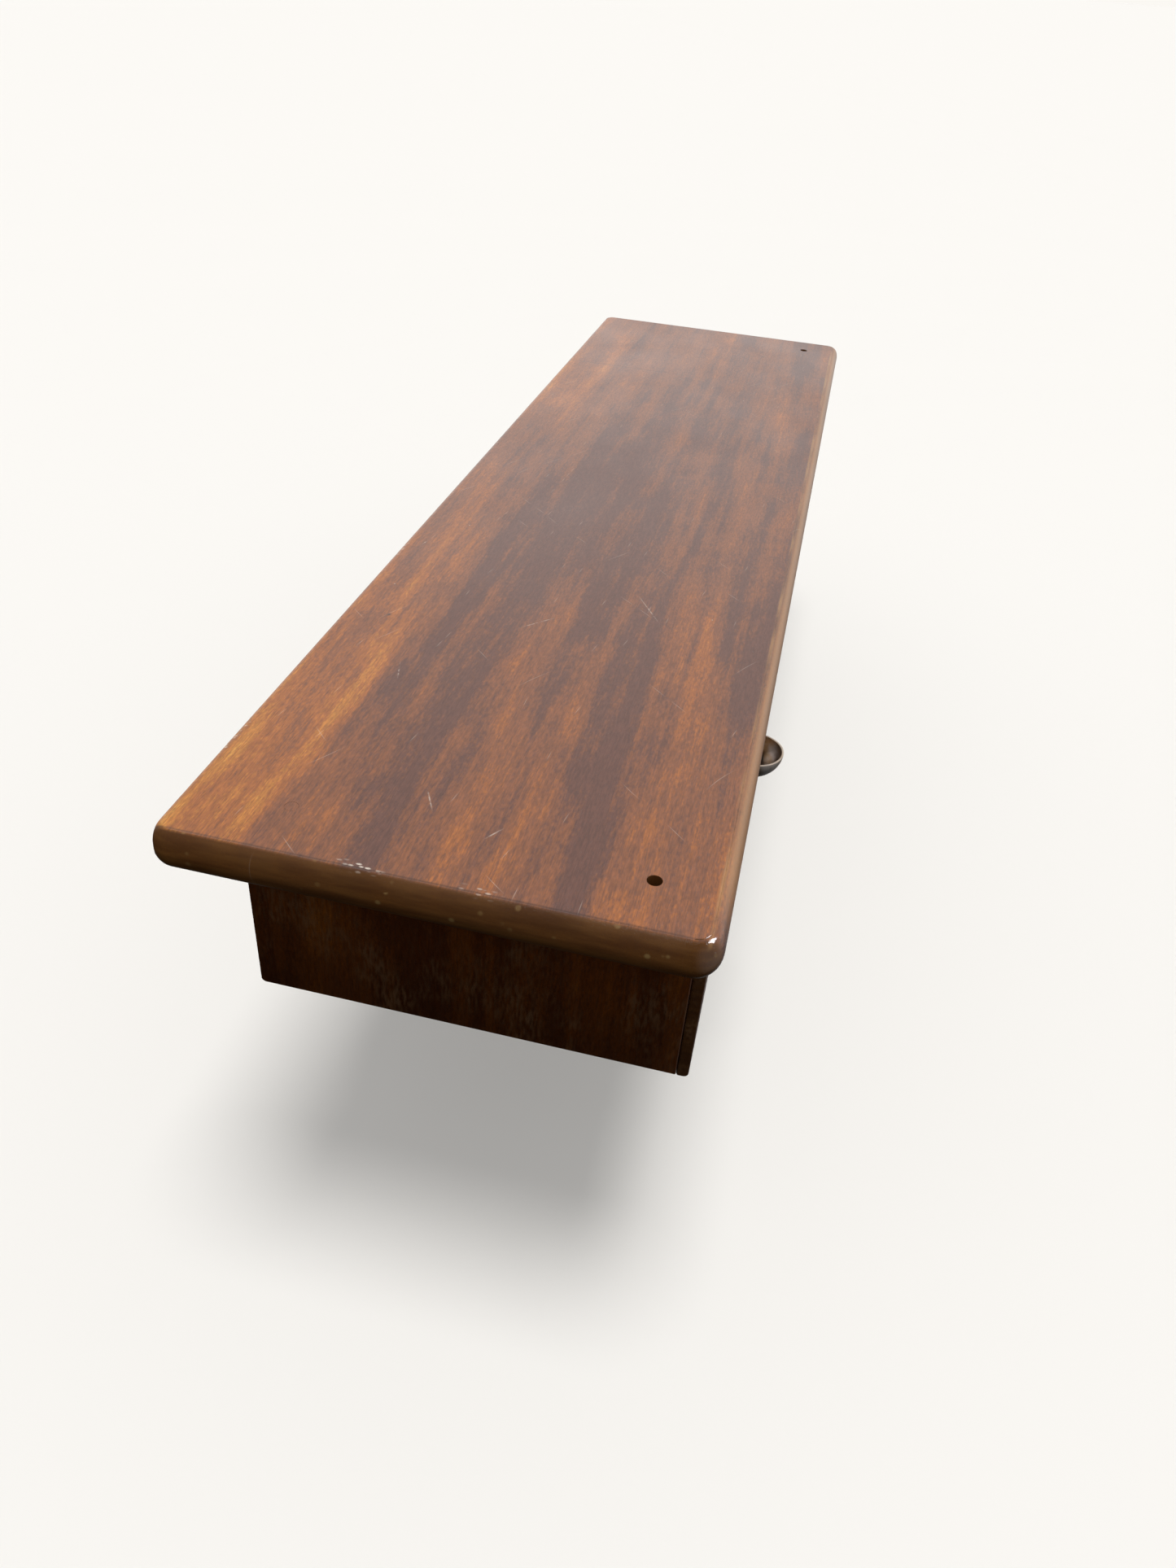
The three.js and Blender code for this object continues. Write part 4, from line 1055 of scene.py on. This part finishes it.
def place_along(piece, at, way):
    """Turns a piece made pointing down -Z so that it points along way, and moves it there."""
    turn = Vector((0, 0, -1)).rotation_difference(Vector(way)).to_matrix().to_4x4()
    piece.data.transform(Matrix.Translation(at) @ turn)


def finish_metal(piece, node):
    shade(piece.data, radians(35))
    return show(piece, node, steel_finish)


def wood_screw(node, way):
    low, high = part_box(node)
    across = [abs(part) < 0.5 for part in way]
    length = sum(abs(part) * side for part, side in zip(way, high - low))
    head = max(side for side, free in zip(high - low, across) if free) / 2
    head_depth = HEAD_DEPTH * head
    shank = SHANK * head
    core = CORE * head
    outline = [
        (0, 0),
        (head - 0.0003, 0),
        (head - 0.00006, -0.00012),
        (head - 0.00006, -0.0003),
        (shank, -head_depth),
        (shank, -0.4 * length),
        (core, -THREAD_START * length),
    ]
    for turn in range(int(0.4 * length / PITCH)):
        z = -THREAD_START * length - turn * PITCH
        outline += [(core, z - 0.5 * PITCH), (shank, z - 0.75 * PITCH), (core, z - PITCH)]
    outline.append((0, -length))
    piece = bare_object(turned(outline), f"{node}_slotted")
    bored(piece, [slot_cutter(head, 0.5 * head_depth, 0.001)])
    middle = (low + high) / 2
    at = middle - Vector(way) * (length / 2)
    place_along(piece, at, way)
    return finish_metal(piece, node)


for group, way in DRIVEN.items():
    for node in sorted(frame["nodes"]):
        if node.startswith(group):
            wood_screw(node, way)

# %% [markdown]
# Inside the drawer two round-headed screws hold the pull, each over a washer, and three small pins hold
# the drawer's bottom up against its back. They are turned the same way as the wood screws.

# %% pull screws, washers and pins
def dome(radius, height, steps=6):
    """Outline points of a low dome, from its middle to its edge."""
    angles = [pi / 2 * step / steps for step in range(steps + 1)]
    return [(radius * sin(angle), height * cos(angle)) for angle in angles]


def round_head(node, way, head_height, slotted):
    low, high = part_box(node)
    length = sum(abs(part) * side for part, side in zip(way, high - low))
    head = max(side for side, part in zip(high - low, way) if abs(part) < 0.5) / 2
    shank = SHANK * head
    tip = head_height - length
    outline = dome(head, head_height) + [(shank, 0), (shank, tip), (0, tip)]
    piece = bare_object(turned(outline), f"{node}_turned")
    if slotted:
        bored(piece, [slot_cutter(head, -0.45 * head_height, 2 * head_height)])
    at = (low + high) / 2 - Vector(way) * (length / 2 - head_height)
    place_along(piece, at, way)
    return finish_metal(piece, node)


for number in (1, 2):
    round_head(f"pull_screw_{number}", (0, -1, 0), 0.0024, True)
    node = f"pull_washer_{number}"
    low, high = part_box(node)
    outer = (high.x - low.x) / 2
    inner = 0.0023
    thick = high.y - low.y
    soft = 0.00015
    ring = [
        (inner, -thick / 2),
        (outer - soft, -thick / 2),
        (outer, -thick / 2 + soft),
        (outer, thick / 2 - soft),
        (outer - soft, thick / 2),
        (inner, thick / 2),
        (inner, -thick / 2),
    ]
    washer = bare_object(turned(ring), f"{node}_turned")
    place_along(washer, (low + high) / 2, (0, -1, 0))
    finish_metal(washer, node)
for number in (1, 2, 3):
    round_head(f"bottom_pin_{number}", (0, 0, 1), 0.0008, False)

# %% [markdown]
# Last, every imported node must be stood for or dressed, and the ones that still show are listed. The
# imported size is printed again, because the finish must not make the shelf any larger.

# %% the finished shelf
bare = [name for name, node in frame["nodes"].items() if not node.hide_render]
print("packed nodes still showing:", bare)
print("frame ", [round(side, 4) for side in frame_high - frame_low])
